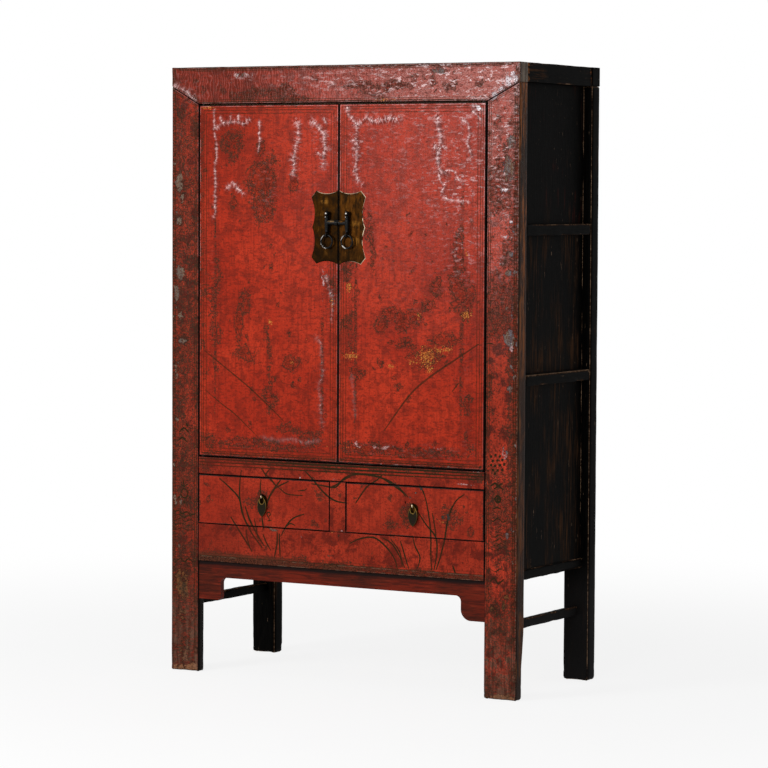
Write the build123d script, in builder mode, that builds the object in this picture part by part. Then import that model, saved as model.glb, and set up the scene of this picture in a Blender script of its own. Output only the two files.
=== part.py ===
from build123d import *
from dataclasses import dataclass
import os

# A two-door wedding cabinet over two drawers, on square legs, built as a joiner builds it:
# posts and rails with mortises and tenons, boards floating in grooves, doors on wooden pivots.
# X runs along the front to the right, Y from the front to the back, Z up from the floor.
# The origin is on the floor, midway between the cabinet's sides and its front and back.

# ---- Sizes, in millimetres ---------------------------------------------------------------
cabinet_width = 1170.0
cabinet_depth = 502.0
cabinet_height = 1800.0

left_post_width = 97.0  # the front posts, as seen from the front
right_post_width = 104.0
rear_post_width = 82.0
post_depth = 50.0
post_arris = 3.0
front_leg_taper = 13.0  # how much thinner the front legs are at the floor, from behind
front_leg_taper_end = 90.0  # height above which the front legs start to thicken
front_leg_chamfer = 20.0  # along the front legs' hidden inner corner

top_end_height = 56.0  # the top rails' ends, which lie on the posts
mitre_drop = 54.0  # how far the front rail's mitre falls across the post
middle_rail_height = 52.0
drawer_opening_height = 148.0
bottom_rail_height = 113.0
leg_opening_height = 333.0
front_rail_depth = 44.0
divider_width = 54.0

side_rail_height = 33.0
side_rail_thickness = 42.0
side_rail_setback = 2.0
upper_rail_top = 1345.0
lower_rail_top = 920.0
bottom_side_rail_height = 32.0
bottom_side_rail_thickness = 32.0
bottom_side_rail_setback = 20.0
stretcher_bottom = 192.0
stretcher_height = 28.0
stretcher_thickness = 22.0
stretcher_setback = 34.0
stretcher_chamfer = 2.0

panel_thickness = 10.0
panel_setback = 26.0
groove_depth = 8.0
top_board_thickness = 12.0
top_board_drop = 8.0
top_batten_width = 36.0
top_batten_height = 24.0
top_batten_spacing = 290.0
top_batten_count = 3

shelf_thickness = 16.0
shelf_groove_depth = 6.5
floor_thickness = 14.0
floor_drop = 6.0  # the cupboard floor below the middle rail's top
bearer_width = 30.0
bearer_height = 30.0
rear_bearer_thickness = 12.0
bottom_board_thickness = 12.0
bottom_board_lift = 20.0

apron_height = 46.0
apron_thickness = 18.0
apron_setback = 5.0
spandrel_width = 77.0
left_spandrel_height = 67.0
right_spandrel_height = 70.0
spandrel_cove = 17.0
left_spandrel_round = 10.0
right_spandrel_round = 32.0
tongue_thickness = 6.0

tenon_thickness = 14.0
tenon_length = 40.0
tenon_shoulder = 8.0
side_tenon_thickness = 12.0
side_tenon_length = 28.0
corner_tenon_inset = 30.0
corner_tenon_width = 32.0
corner_tenon_top = 20.0  # wood left above the posts' tenons
short_tenon_length = 15.0
short_tenon_thickness = 8.0
joint_clearance = 0.15
tenon_past_groove = 1.0
board_play = 1.0

door_gap = 3.0
door_thickness = 28.0
door_frame_width = 57.0
door_stop_height = 12.0
door_stop_clearance = 0.4
door_edge_round = 3.0
door_tenon_thickness = 10.0
door_tenon_length = 35.0
door_panel_thickness = 14.0
door_tongue_thickness = 8.0
door_batten_height = 32.0
door_batten_thickness = 11.0
door_batten_inset = 235.0
pivot_radius = 5.0
pivot_from_edge = 10.0
pivot_from_face = 8.0
top_pivot_depth = 16.0
bottom_pivot_depth = 10.0
pivot_clearance = 0.08
pivot_seat_clearance = 0.3

drawer_gap = 2.5
drawer_front_thickness = 20.0
drawer_length = 410.0
drawer_side_thickness = 12.0
drawer_side_height = 120.0
drawer_side_inset = 1.0
drawer_housing_depth = 10.0
drawer_bottom_thickness = 8.0
drawer_bottom_lift = 6.0
drawer_back_drop = 10.0
runner_clearance = 0.3
guide_clearance = 0.7
runner_height = 22.0
runner_width = 24.0
guide_width = 12.0
guide_height = 20.0
stop_thickness = 14.0
stop_clearance = 0.5

lock_plate_below_door_top = 356.0
lock_plate_thickness = 2.0
lock_plate_peak = 108.0  # half the plate's height at the meeting line
# Points of its outline, from the meeting line and from its middle, as shares of the peak.
lock_plate_dip = (0.370, 0.912)
lock_plate_horn_top = (0.694, 0.991)
lock_plate_horn_side = (0.861, 0.806)
lock_plate_waist = (0.759, 0.481)
lock_plate_bulge = (0.833, 0.0)
lock_plate_chamfer = 0.6
staple_from_meeting = 34.0
staple_standoff = 9.0
staple_radius = 5.0
staple_top_rise = 31.0  # heights on the staple, from the lock plate's middle
staple_neck_radius = 3.4
staple_neck_sunk = 1.0
staple_ball_radius = 6.3
staple_ball_rise = 40.0
staple_eye_drop = 21.0
staple_eye_radius = 6.4
staple_eye_wire = 2.2
staple_leg_radius = 3.5
staple_leg_rise = 13.0
staple_washer_radius = 6.5
staple_washer_thickness = 2.5
crossbar_radius = 5.4
crossbar_collar_radius = 8.5
crossbar_collar_width = 4.0
crossbar_parting = 0.6
ring_radius = 18.6
ring_wire = 2.5
ring_hang = 1.3  # the ring's wire below the middle of its eye
rivet_clearance = 0.1

pull_below_opening_top = 56.0
pull_plate_radius = 14.0
pull_plate_thickness = 1.5
pull_plate_below_eye = 10.0
pull_eye_radius = 5.6
pull_eye_wire = 1.6
pull_leg_radius = 2.2
drop_width = 31.0
drop_length = 63.0
drop_thickness = 3.6
drop_window_width = 14.0
drop_window_length = 19.0
drop_bar_height = 5.0
drop_hang = 0.4


@dataclass(frozen=True)
class Bar:
    """A square-cut piece of timber, as its low and high ends along each axis."""

    x: tuple
    y: tuple
    z: tuple

    def put(self, mode=Mode.ADD, grow=0.0):
        """Adds the timber to the piece being made, or takes it away, grown all round."""
        spans = (self.x, self.y, self.z)
        with Locations(tuple((low + high) / 2 for low, high in spans)):
            Box(*(high - low + 2 * grow for low, high in spans), mode=mode)

    def house(self, grow=joint_clearance):
        """Cuts the mortise or groove that this timber sits in."""
        self.put(Mode.SUBTRACT, grow)


def span(start, end):
    """Two ends in rising order, whichever way the length was measured."""
    return (min(start, end), max(start, end))


def about(middle, size):
    """The two ends of a size that is centred on a middle."""
    return (middle - size / 2, middle + size / 2)


def middle_of(ends):
    """Midway between two ends."""
    return sum(ends) / 2


def front_plane(y):
    """An upright plane at the depth y that faces the front, with X across it and Z up it."""
    return Plane.XZ.offset(-y)


def save(piece, name):
    """Labels a finished piece and writes it under its own name."""
    piece.part.label = name
    export_step(piece.part, f"parts/{name}.step")


os.makedirs("parts", exist_ok=True)

# ---- Layout ------------------------------------------------------------------------------
sides = {"left": -1, "right": 1}
front_post_width = {"left": left_post_width, "right": right_post_width}
front_y = -cabinet_depth / 2
back_y = cabinet_depth / 2
front_post_back = front_y + post_depth
rear_post_front = back_y - post_depth
post_top = cabinet_height - top_end_height
top_rail_bottom = post_top - mitre_drop


def inward(side, distance):
    """X at a distance in from one of the cabinet's outer sides."""
    return sides[side] * (cabinet_width / 2 - distance)


bottom_rail_top = leg_opening_height + bottom_rail_height
drawer_opening_top = bottom_rail_top + drawer_opening_height
middle_rail_top = drawer_opening_top + middle_rail_height
front_post_face = {side: inward(side, front_post_width[side]) for side in sides}
rear_post_face = {side: inward(side, rear_post_width) for side in sides}
opening_x = (front_post_face["left"], front_post_face["right"])
rear_opening_x = (rear_post_face["left"], rear_post_face["right"])
meeting_x = middle_of(opening_x)
front_rail_y = (front_y, front_y + front_rail_depth)
rear_rail_y = (back_y - side_rail_setback - side_rail_thickness, back_y - side_rail_setback)
front_tenon_y = about(front_y + front_rail_depth / 2, tenon_thickness)
side_rail_back = side_rail_setback + side_rail_thickness
panel_back = panel_setback + panel_thickness
divider_x = about(meeting_x, divider_width)

# Tenons of the front rails, each in the post beside it.
front_tenons = {}
for side, sign in sides.items():
    face = front_post_face[side]
    reach = span(face, face + sign * tenon_length)
    front_tenons[side] = {
        "middle": Bar(reach, front_tenon_y, about(drawer_opening_top + middle_rail_height / 2,
                                                  middle_rail_height - 2 * tenon_shoulder)),
        "bottom": Bar(reach, front_tenon_y, about(leg_opening_height + bottom_rail_height / 2,
                                                  bottom_rail_height - 4 * tenon_shoulder)),
    }

# Tenons on the posts' tops, in the top rails.
corner_tenons = {}
for side in sides:
    tenon_x = span(inward(side, corner_tenon_inset),
                   inward(side, corner_tenon_inset + corner_tenon_width))
    tenon_top = cabinet_height - corner_tenon_top
    corner_tenons[side] = {
        "front": Bar(tenon_x, about(front_y + post_depth / 2, tenon_thickness),
                     (top_rail_bottom, tenon_top)),
        "rear": Bar(tenon_x, about(back_y - post_depth / 2, tenon_thickness),
                    (post_top - tenon_shoulder, tenon_top)),
    }

# Side rails: their height, and how far in from the cabinet's outer side their faces lie.
rail_levels = {
    "upper": (upper_rail_top - side_rail_height, upper_rail_top),
    "lower": (lower_rail_top - side_rail_height, lower_rail_top),
    "bottom": (leg_opening_height, leg_opening_height + bottom_side_rail_height),
    "top": (post_top, cabinet_height),
    "stretcher": (stretcher_bottom, stretcher_bottom + stretcher_height),
}
rail_faces = {
    "upper": (side_rail_setback, side_rail_back),
    "lower": (side_rail_setback, side_rail_back),
    "bottom": (bottom_side_rail_setback, bottom_side_rail_setback + bottom_side_rail_thickness),
    "top": (side_rail_setback, side_rail_back),
    "stretcher": (stretcher_setback, stretcher_setback + stretcher_thickness),
}
side_rails = {}
side_tenons = {}
for side in sides:
    for level, (low, high) in rail_levels.items():
        outer, inner = rail_faces[level]
        rail_x = span(inward(side, outer), inward(side, inner))
        side_rails[side, level] = Bar(rail_x, (front_post_back, rear_post_front), (low, high))
        tenon_x = about(middle_of(rail_x), min(side_tenon_thickness, (inner - outer) / 2))
        # Clear of the boards' edges, which reach a groove's depth into the rail.
        tenon_z = (low + groove_depth / 2, high - groove_depth - tenon_past_groove)
        if level in ("upper", "lower"):
            tenon_z = (low + groove_depth + tenon_past_groove,
                       high - groove_depth - tenon_past_groove)
        side_tenons[side, level] = Bar(
            tenon_x,
            (front_post_back - side_tenon_length, rear_post_front + side_tenon_length),
            tenon_z,
        )

# Rear rails between the rear posts, in line with the side rails and the front's bottom rail.
rear_levels = {
    "upper": rail_levels["upper"],
    "lower": rail_levels["lower"],
    "bottom": (leg_opening_height, bottom_rail_top),
}
rear_rails = {}
rear_tenons = {}
for level, (low, high) in rear_levels.items():
    rear_rails[level] = Bar(rear_opening_x, rear_rail_y, (low, high))
    rear_tenons[level] = Bar(
        (rear_opening_x[0] - side_tenon_length, rear_opening_x[1] + side_tenon_length),
        about(middle_of(rear_rail_y), side_tenon_thickness),
        (low + groove_depth + tenon_past_groove, high - groove_depth - tenon_past_groove),
    )

# Boards of the sides and the back, with their edges in the grooves round them.
side_panels = {}
for side in sides:
    board_x = span(inward(side, panel_setback), inward(side, panel_back))
    board_y = (front_post_back - groove_depth, rear_post_front + groove_depth)
    for name, below, above in (("upper", "upper", "top"), ("middle", "lower", "upper"),
                               ("lower", "bottom", "lower")):
        board_z = (rail_levels[below][1] - groove_depth, rail_levels[above][0] + groove_depth)
        side_panels[side, name] = Bar(board_x, board_y, board_z)

rear_panels = {}
rear_board_y = (back_y - panel_back, back_y - panel_setback)
rear_board_x = (rear_opening_x[0] - groove_depth, rear_opening_x[1] + groove_depth)
for name, low, high in (("upper", upper_rail_top, post_top),
                        ("middle", lower_rail_top, rear_levels["upper"][0]),
                        ("lower", bottom_rail_top, rear_levels["lower"][0])):
    rear_panels[name] = Bar(rear_board_x, rear_board_y, (low - groove_depth, high + groove_depth))

top_board_top = cabinet_height - top_board_drop
top_board = Bar(
    (inward("left", side_rail_back - groove_depth + board_play),
     inward("right", side_rail_back - groove_depth + board_play)),
    (front_post_back - groove_depth, rear_post_front + groove_depth),
    (top_board_top - top_board_thickness, top_board_top),
)
top_battens = []
for number in range(top_batten_count):
    batten_middle = (number - (top_batten_count - 1) / 2) * top_batten_spacing
    batten_z = (top_board.z[0] - top_batten_height, top_board.z[0])
    body = Bar(about(batten_middle, top_batten_width), (front_post_back, rear_post_front), batten_z)
    tenon = Bar(
        about(batten_middle, top_batten_width - 2 * tenon_shoulder),
        (front_post_back - groove_depth, rear_post_front + groove_depth),
        about(middle_of(batten_z), short_tenon_thickness),
    )
    top_battens.append((body, tenon))


def notched_board(reach_x, z, front_edge, rear_edge):
    """The three parts of a board that runs between the posts at its front and its back."""
    fit = joint_clearance
    between_front = (opening_x[0] + fit, opening_x[1] - fit)
    between_rear = (rear_opening_x[0] + fit, rear_opening_x[1] - fit)
    return (
        Bar(reach_x, (front_post_back + fit, rear_post_front - fit), z),
        Bar(between_front, (front_edge, front_post_back + fit), z),
        Bar(between_rear, (rear_post_front - fit, rear_edge), z),
    )


door_back = front_y + door_thickness + door_stop_clearance
shelf_edge = side_rail_back - shelf_groove_depth
shelves = {}
for level in ("upper", "lower"):
    shelves[level] = notched_board(
        (inward("left", shelf_edge), inward("right", shelf_edge)),
        about(middle_of(rail_levels[level]), shelf_thickness),
        door_back,
        rear_rail_y[0] + shelf_groove_depth,
    )

floor_top = middle_rail_top - floor_drop
floor_edge = panel_back + board_play
floor_z = (floor_top - floor_thickness, floor_top)
cupboard_floor = notched_board(
    (inward("left", floor_edge), inward("right", floor_edge)),
    floor_z,
    front_rail_y[1] - shelf_groove_depth,
    back_y - floor_edge,
)
bottom_board_bottom = leg_opening_height + bottom_board_lift
bottom_edge = bottom_side_rail_setback + bottom_side_rail_thickness - shelf_groove_depth
bottom_board = notched_board(
    (inward("left", bottom_edge), inward("right", bottom_edge)),
    (bottom_board_bottom, bottom_board_bottom + bottom_board_thickness),
    front_rail_y[1] - shelf_groove_depth,
    rear_rail_y[0] + shelf_groove_depth,
)

# Bearers under the cupboard floor: one at each side, one along the back.
bearer_z = (floor_z[0] - bearer_height, floor_z[0])
floor_bearers = []
for side in sides:
    bearer_x = span(inward(side, floor_edge), inward(side, floor_edge + bearer_width))
    tenon = Bar(
        about(middle_of(bearer_x), short_tenon_thickness),
        (front_post_back - short_tenon_length, rear_post_front + short_tenon_length),
        about(middle_of(bearer_z), bearer_height / 2),
    )
    floor_bearers.append((Bar(bearer_x, (front_post_back, rear_post_front), bearer_z), tenon))
rear_bearer_y = (back_y - floor_edge - rear_bearer_thickness, back_y - floor_edge)
floor_bearers.append((
    Bar(rear_opening_x, rear_bearer_y, bearer_z),
    Bar((rear_opening_x[0] - short_tenon_length, rear_opening_x[1] + short_tenon_length),
        about(middle_of(rear_bearer_y), short_tenon_thickness),
        about(middle_of(bearer_z), bearer_height / 2)),
))

divider_tenon = Bar(
    about(meeting_x, divider_width / 2),
    front_tenon_y,
    (bottom_rail_top - short_tenon_length, drawer_opening_top + short_tenon_length),
)

# Apron under the front: its tongue is in the bottom rail and its ends are in the posts.
apron_y = (front_y + apron_setback, front_y + apron_setback + apron_thickness)
tongue_y = about(middle_of(apron_y), tongue_thickness)
apron_bottom = leg_opening_height - apron_height
apron_tongue = Bar(opening_x, tongue_y, (leg_opening_height, leg_opening_height + groove_depth))
apron_ends = Bar(
    (opening_x[0] - groove_depth, opening_x[1] + groove_depth),
    tongue_y,
    (apron_bottom + tongue_thickness, leg_opening_height - tongue_thickness),
)
spandrel_bottom = {
    "left": apron_bottom - left_spandrel_height,
    "right": apron_bottom - right_spandrel_height,
}
spandrel_round = {"left": left_spandrel_round, "right": right_spandrel_round}
spandrel_tongues = {}
for side, sign in sides.items():
    face = front_post_face[side]
    spandrel_tongues[side] = Bar(
        span(face, face + sign * groove_depth),
        tongue_y,
        (spandrel_bottom[side] + tongue_thickness, apron_bottom - tongue_thickness),
    )

# Doors: where each one's edges, pivots and lock lie.
door_z = (middle_rail_top + door_gap, top_rail_bottom - door_gap)
door_y = (front_y, front_y + door_thickness)
pivot_y = front_y + pivot_from_face
hinge_edge = {side: front_post_face[side] - sign * door_gap for side, sign in sides.items()}
free_edge = {side: meeting_x + sign * door_gap / 2 for side, sign in sides.items()}
pivot_x = {side: hinge_edge[side] - sign * pivot_from_edge for side, sign in sides.items()}
plate_middle = door_z[1] - lock_plate_below_door_top
staple_top = plate_middle + staple_top_rise
staple_ball_height = plate_middle + staple_ball_rise
staple_eye_height = plate_middle - staple_eye_drop
staple_leg_height = plate_middle + staple_leg_rise
staple_x = {side: meeting_x + sign * staple_from_meeting for side, sign in sides.items()}
top_pivot_end = top_rail_bottom + top_pivot_depth - pivot_seat_clearance
bottom_pivot_end = middle_rail_top - bottom_pivot_depth + pivot_seat_clearance

# Drawers: each fills half of the drawer opening.
drawer_opening_x = {
    "left": (opening_x[0], divider_x[0]),
    "right": (divider_x[1], opening_x[1]),
}
drawer_x = {side: (low + drawer_gap, high - drawer_gap)
            for side, (low, high) in drawer_opening_x.items()}
drawer_front_z = (bottom_rail_top + drawer_gap, drawer_opening_top - drawer_gap)
pull_height = drawer_opening_top - pull_below_opening_top
drawer_floor = bottom_rail_top + runner_clearance
drawer_rear = front_y + drawer_length
drawer_side_y = (front_y + drawer_front_thickness - drawer_housing_depth, drawer_rear)
drawer_side_z = (drawer_floor, drawer_floor + drawer_side_height)
drawer_bottom_z = (drawer_floor + drawer_bottom_lift,
                   drawer_floor + drawer_bottom_lift + drawer_bottom_thickness)


def drawer_sides(side):
    """The two side boards of a drawer."""
    low, high = drawer_x[side]
    left = (low + drawer_side_inset, low + drawer_side_inset + drawer_side_thickness)
    right = (high - drawer_side_inset - drawer_side_thickness, high - drawer_side_inset)
    return [Bar(ends, drawer_side_y, drawer_side_z) for ends in (left, right)]


def drawer_bottom(side):
    """A drawer's bottom board, with its edges in the front and the two sides."""
    left, right = drawer_sides(side)
    half = drawer_side_thickness / 2
    return Bar(
        (left.x[1] - half, right.x[0] + half),
        (front_y + drawer_front_thickness - half, drawer_rear),
        drawer_bottom_z,
    )


# ---- Posts -------------------------------------------------------------------------------
for side, sign in sides.items():
    outer_edge = inward(side, 0)
    inner_face = front_post_face[side]
    with BuildPart() as front_post:
        with BuildSketch(front_plane(front_post_back)):
            with BuildLine():
                Polyline((outer_edge, 0), (outer_edge, post_top), (inner_face, top_rail_bottom),
                         (inner_face, 0), close=True)
            make_face()
        extrude(amount=post_depth)
        outer_arrises = front_post.edges().filter_by(Axis.Z).group_by(Axis.X)[0 if sign < 0 else -1]
        fillet(outer_arrises, post_arris)
        with BuildSketch(Plane.YZ.offset(min(outer_edge, inner_face))):
            with BuildLine():
                Polyline((front_post_back, stretcher_bottom), (front_post_back, 0),
                         (front_post_back - front_leg_taper, 0),
                         (front_post_back - front_leg_taper, front_leg_taper_end), close=True)
            make_face()
        extrude(amount=front_post_width[side], mode=Mode.SUBTRACT)
        with BuildSketch():
            with BuildLine():
                Polyline((inner_face, front_post_back),
                         (inner_face, front_post_back - front_leg_chamfer),
                         (inner_face + sign * front_leg_chamfer, front_post_back), close=True)
            make_face()
        extrude(amount=leg_opening_height, mode=Mode.SUBTRACT)
        corner_tenons[side]["front"].put()
        for tenon in front_tenons[side].values():
            tenon.house()
        for level in ("upper", "lower", "bottom", "stretcher"):
            side_tenons[side, level].house()
        for name in ("upper", "middle", "lower"):
            side_panels[side, name].house()
        for body, tenon in floor_bearers:
            tenon.house()
        apron_ends.house()
        spandrel_tongues[side].house()
    save(front_post, f"front_{side}_post")

    with BuildPart() as rear_post:
        with BuildSketch(front_plane(back_y)):
            with Locations((middle_of((outer_edge, rear_post_face[side])), post_top / 2)):
                Rectangle(rear_post_width, post_top)
        extrude(amount=post_depth)
        outer_arrises = rear_post.edges().filter_by(Axis.Z).group_by(Axis.X)[0 if sign < 0 else -1]
        fillet(outer_arrises, post_arris)
        corner_tenons[side]["rear"].put()
        for level in ("upper", "lower", "bottom", "stretcher"):
            side_tenons[side, level].house()
        for name in ("upper", "middle", "lower"):
            side_panels[side, name].house()
            rear_panels[name].house()
        for tenon in rear_tenons.values():
            tenon.house()
        for body, tenon in floor_bearers:
            tenon.house()
    save(rear_post, f"rear_{side}_post")

# ---- Top frame ---------------------------------------------------------------------------
half_width = cabinet_width / 2
with BuildPart() as front_top_rail:
    with BuildSketch(front_plane(front_post_back)):
        with BuildLine():
            Polyline((-half_width, cabinet_height), (half_width, cabinet_height),
                     (half_width, post_top), (opening_x[1], top_rail_bottom),
                     (opening_x[0], top_rail_bottom), (-half_width, post_top), close=True)
        make_face()
    extrude(amount=post_depth)
    upper_arrises = front_top_rail.edges().filter_by(Axis.X).group_by(Axis.Z)[-1]
    fillet(upper_arrises, post_arris)
    Bar((opening_x[0] + joint_clearance, opening_x[1] - joint_clearance),
        (door_back, front_post_back),
        (top_rail_bottom - door_stop_height, top_rail_bottom)).put()
    for side in sides:
        corner_tenons[side]["front"].house()
        side_tenons[side, "top"].house()
        side_panels[side, "upper"].house()
        with BuildSketch(Plane.XY.offset(top_rail_bottom)):
            with Locations((pivot_x[side], pivot_y)):
                Circle(pivot_radius + pivot_clearance)
        extrude(amount=top_pivot_depth, mode=Mode.SUBTRACT)
    top_board.house()
    for body, tenon in top_battens:
        tenon.house()
save(front_top_rail, "front_top_rail")

with BuildPart() as rear_top_rail:
    Bar((-half_width, half_width), (rear_post_front, back_y), (post_top, cabinet_height)).put()
    upper_arrises = rear_top_rail.edges().filter_by(Axis.X).group_by(Axis.Z)[-1]
    fillet(upper_arrises, post_arris)
    for side in sides:
        corner_tenons[side]["rear"].house()
        side_tenons[side, "top"].house()
        side_panels[side, "upper"].house()
    rear_panels["upper"].house()
    top_board.house()
    for body, tenon in top_battens:
        tenon.house()
save(rear_top_rail, "rear_top_rail")

for side in sides:
    with BuildPart() as side_top_rail:
        side_rails[side, "top"].put()
        side_tenons[side, "top"].put()
        side_panels[side, "upper"].house()
        top_board.house()
    save(side_top_rail, f"{side}_top_rail")

with BuildPart() as top_panel:
    top_board.put()
save(top_panel, "top_panel")

with BuildPart() as top_panel_battens:
    for body, tenon in top_battens:
        body.put()
        tenon.put()
save(top_panel_battens, "top_panel_battens")

# ---- Front rails, divider and apron ------------------------------------------------------
with BuildPart() as front_middle_rail:
    Bar(opening_x, front_rail_y, (drawer_opening_top, middle_rail_top)).put()
    Bar(opening_x, (door_back, front_rail_y[1]),
        (middle_rail_top, middle_rail_top + door_stop_height)).put()
    for side in sides:
        front_tenons[side]["middle"].put()
        with BuildSketch(Plane.XY.offset(middle_rail_top)):
            with Locations((pivot_x[side], pivot_y)):
                Circle(pivot_radius + pivot_clearance)
        extrude(amount=-bottom_pivot_depth, mode=Mode.SUBTRACT)
    divider_tenon.house()
    for board in cupboard_floor:
        board.house()
save(front_middle_rail, "front_middle_rail")

with BuildPart() as drawer_divider:
    Bar(divider_x, front_rail_y, (bottom_rail_top, drawer_opening_top)).put()
    divider_tenon.put()
save(drawer_divider, "drawer_divider")

runner_tenon_z = about(bottom_rail_top - runner_height / 2, short_tenon_thickness)
runner_y = (front_rail_y[1], rear_rail_y[0])
runner_x = {
    "left": (opening_x[0] + joint_clearance, opening_x[0] + runner_width),
    "middle": (divider_x[0] - runner_width, divider_x[1] + runner_width),
    "right": (opening_x[1] - runner_width, opening_x[1] - joint_clearance),
}
runner_tenons = [
    Bar(about(middle_of(ends), runner_width / 2),
        (runner_y[0] - groove_depth, runner_y[1] + groove_depth), runner_tenon_z)
    for ends in runner_x.values()
]
with BuildPart() as front_bottom_rail:
    Bar(opening_x, front_rail_y, (leg_opening_height, bottom_rail_top)).put()
    for side in sides:
        front_tenons[side]["bottom"].put()
    divider_tenon.house()
    apron_tongue.house()
    for tenon in runner_tenons:
        tenon.house()
    for board in bottom_board:
        board.house()
save(front_bottom_rail, "front_bottom_rail")

with BuildPart() as front_apron:
    Bar(opening_x, apron_y, (apron_bottom, leg_opening_height)).put()
    apron_tongue.put()
    apron_ends.put()
save(front_apron, "front_apron")

for side, sign in sides.items():
    face = front_post_face[side]
    tip = face - sign * spandrel_width
    cove_tip = tip - sign * spandrel_cove
    foot = spandrel_bottom[side]
    rounding = spandrel_round[side]
    with BuildPart() as spandrel:
        with BuildSketch(front_plane(apron_y[1])):
            with BuildLine():
                Polyline((cove_tip, apron_bottom), (face, apron_bottom), (face, foot),
                         (tip + sign * rounding, foot))
                RadiusArc((tip + sign * rounding, foot), (tip, foot + rounding), sign * rounding)
                Line((tip, foot + rounding), (tip, apron_bottom - spandrel_cove))
                RadiusArc((tip, apron_bottom - spandrel_cove), (cove_tip, apron_bottom),
                          -sign * spandrel_cove)
            make_face()
        extrude(amount=apron_thickness)
        spandrel_tongues[side].put()
    save(spandrel, f"{side}_spandrel")

# ---- Side rails, stretchers and boards ---------------------------------------------------
for side in sides:
    for level in ("upper", "lower", "bottom"):
        with BuildPart() as side_rail:
            side_rails[side, level].put()
            side_tenons[side, level].put()
            for name in ("upper", "middle", "lower"):
                side_panels[side, name].house()
            for board in (*shelves["upper"], *shelves["lower"], *bottom_board):
                board.house()
        save(side_rail, f"{side}_{level}_rail")

    for name in ("upper", "middle", "lower"):
        with BuildPart() as side_board:
            side_panels[side, name].put()
        save(side_board, f"{side}_{name}_panel")

with BuildPart() as leg_stretchers:
    for side in sides:
        side_rails[side, "stretcher"].put()
    chamfer(leg_stretchers.edges().filter_by(Axis.Y), stretcher_chamfer)
    for side in sides:
        side_tenons[side, "stretcher"].put()
save(leg_stretchers, "leg_stretchers")

# ---- Back --------------------------------------------------------------------------------
for name, levels in (("rear_rails", ("upper", "lower")), ("rear_bottom_rail", ("bottom",))):
    with BuildPart() as rear_rail:
        for level in levels:
            rear_rails[level].put()
            rear_tenons[level].put()
        for board in (*rear_panels.values(), *shelves["upper"], *shelves["lower"], *bottom_board):
            board.house()
        for tenon in runner_tenons:
            tenon.house()
    save(rear_rail, name)

with BuildPart() as back_boards:
    for board in rear_panels.values():
        board.put()
save(back_boards, "rear_panels")

# ---- Shelves, floor and drawer runners ---------------------------------------------------
for level, boards in shelves.items():
    with BuildPart() as shelf:
        for board in boards:
            board.put()
    save(shelf, f"{level}_shelf")

with BuildPart() as floor_board:
    for board in cupboard_floor:
        board.put()
save(floor_board, "cupboard_floor")

with BuildPart() as bearers:
    for body, tenon in floor_bearers:
        body.put()
        tenon.put()
save(bearers, "floor_bearers")

with BuildPart() as carcass_bottom:
    for board in bottom_board:
        board.put()
save(carcass_bottom, "bottom_board")

runner_z = (bottom_rail_top - runner_height, bottom_rail_top)
guide_z = (runner_z[0], bottom_rail_top + guide_height)
stop_y = about(drawer_rear + stop_clearance + stop_thickness / 2, stop_thickness)
guide_y = (front_post_back + joint_clearance, rear_rail_y[0])
guide_inset = drawer_gap + drawer_side_inset - guide_clearance
with BuildPart() as drawer_runners:
    for ends, tenon in zip(runner_x.values(), runner_tenons):
        Bar(ends, runner_y, runner_z).put()
        Bar(ends, stop_y, guide_z).put()
        tenon.put()
    Bar((opening_x[0] - guide_width, opening_x[0] + guide_inset), guide_y, guide_z).put()
    Bar((opening_x[1] - guide_inset, opening_x[1] + guide_width), guide_y, guide_z).put()
    Bar((divider_x[0] - guide_inset, divider_x[1] + guide_inset), runner_y, guide_z).put()
save(drawer_runners, "drawer_runners")

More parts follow.
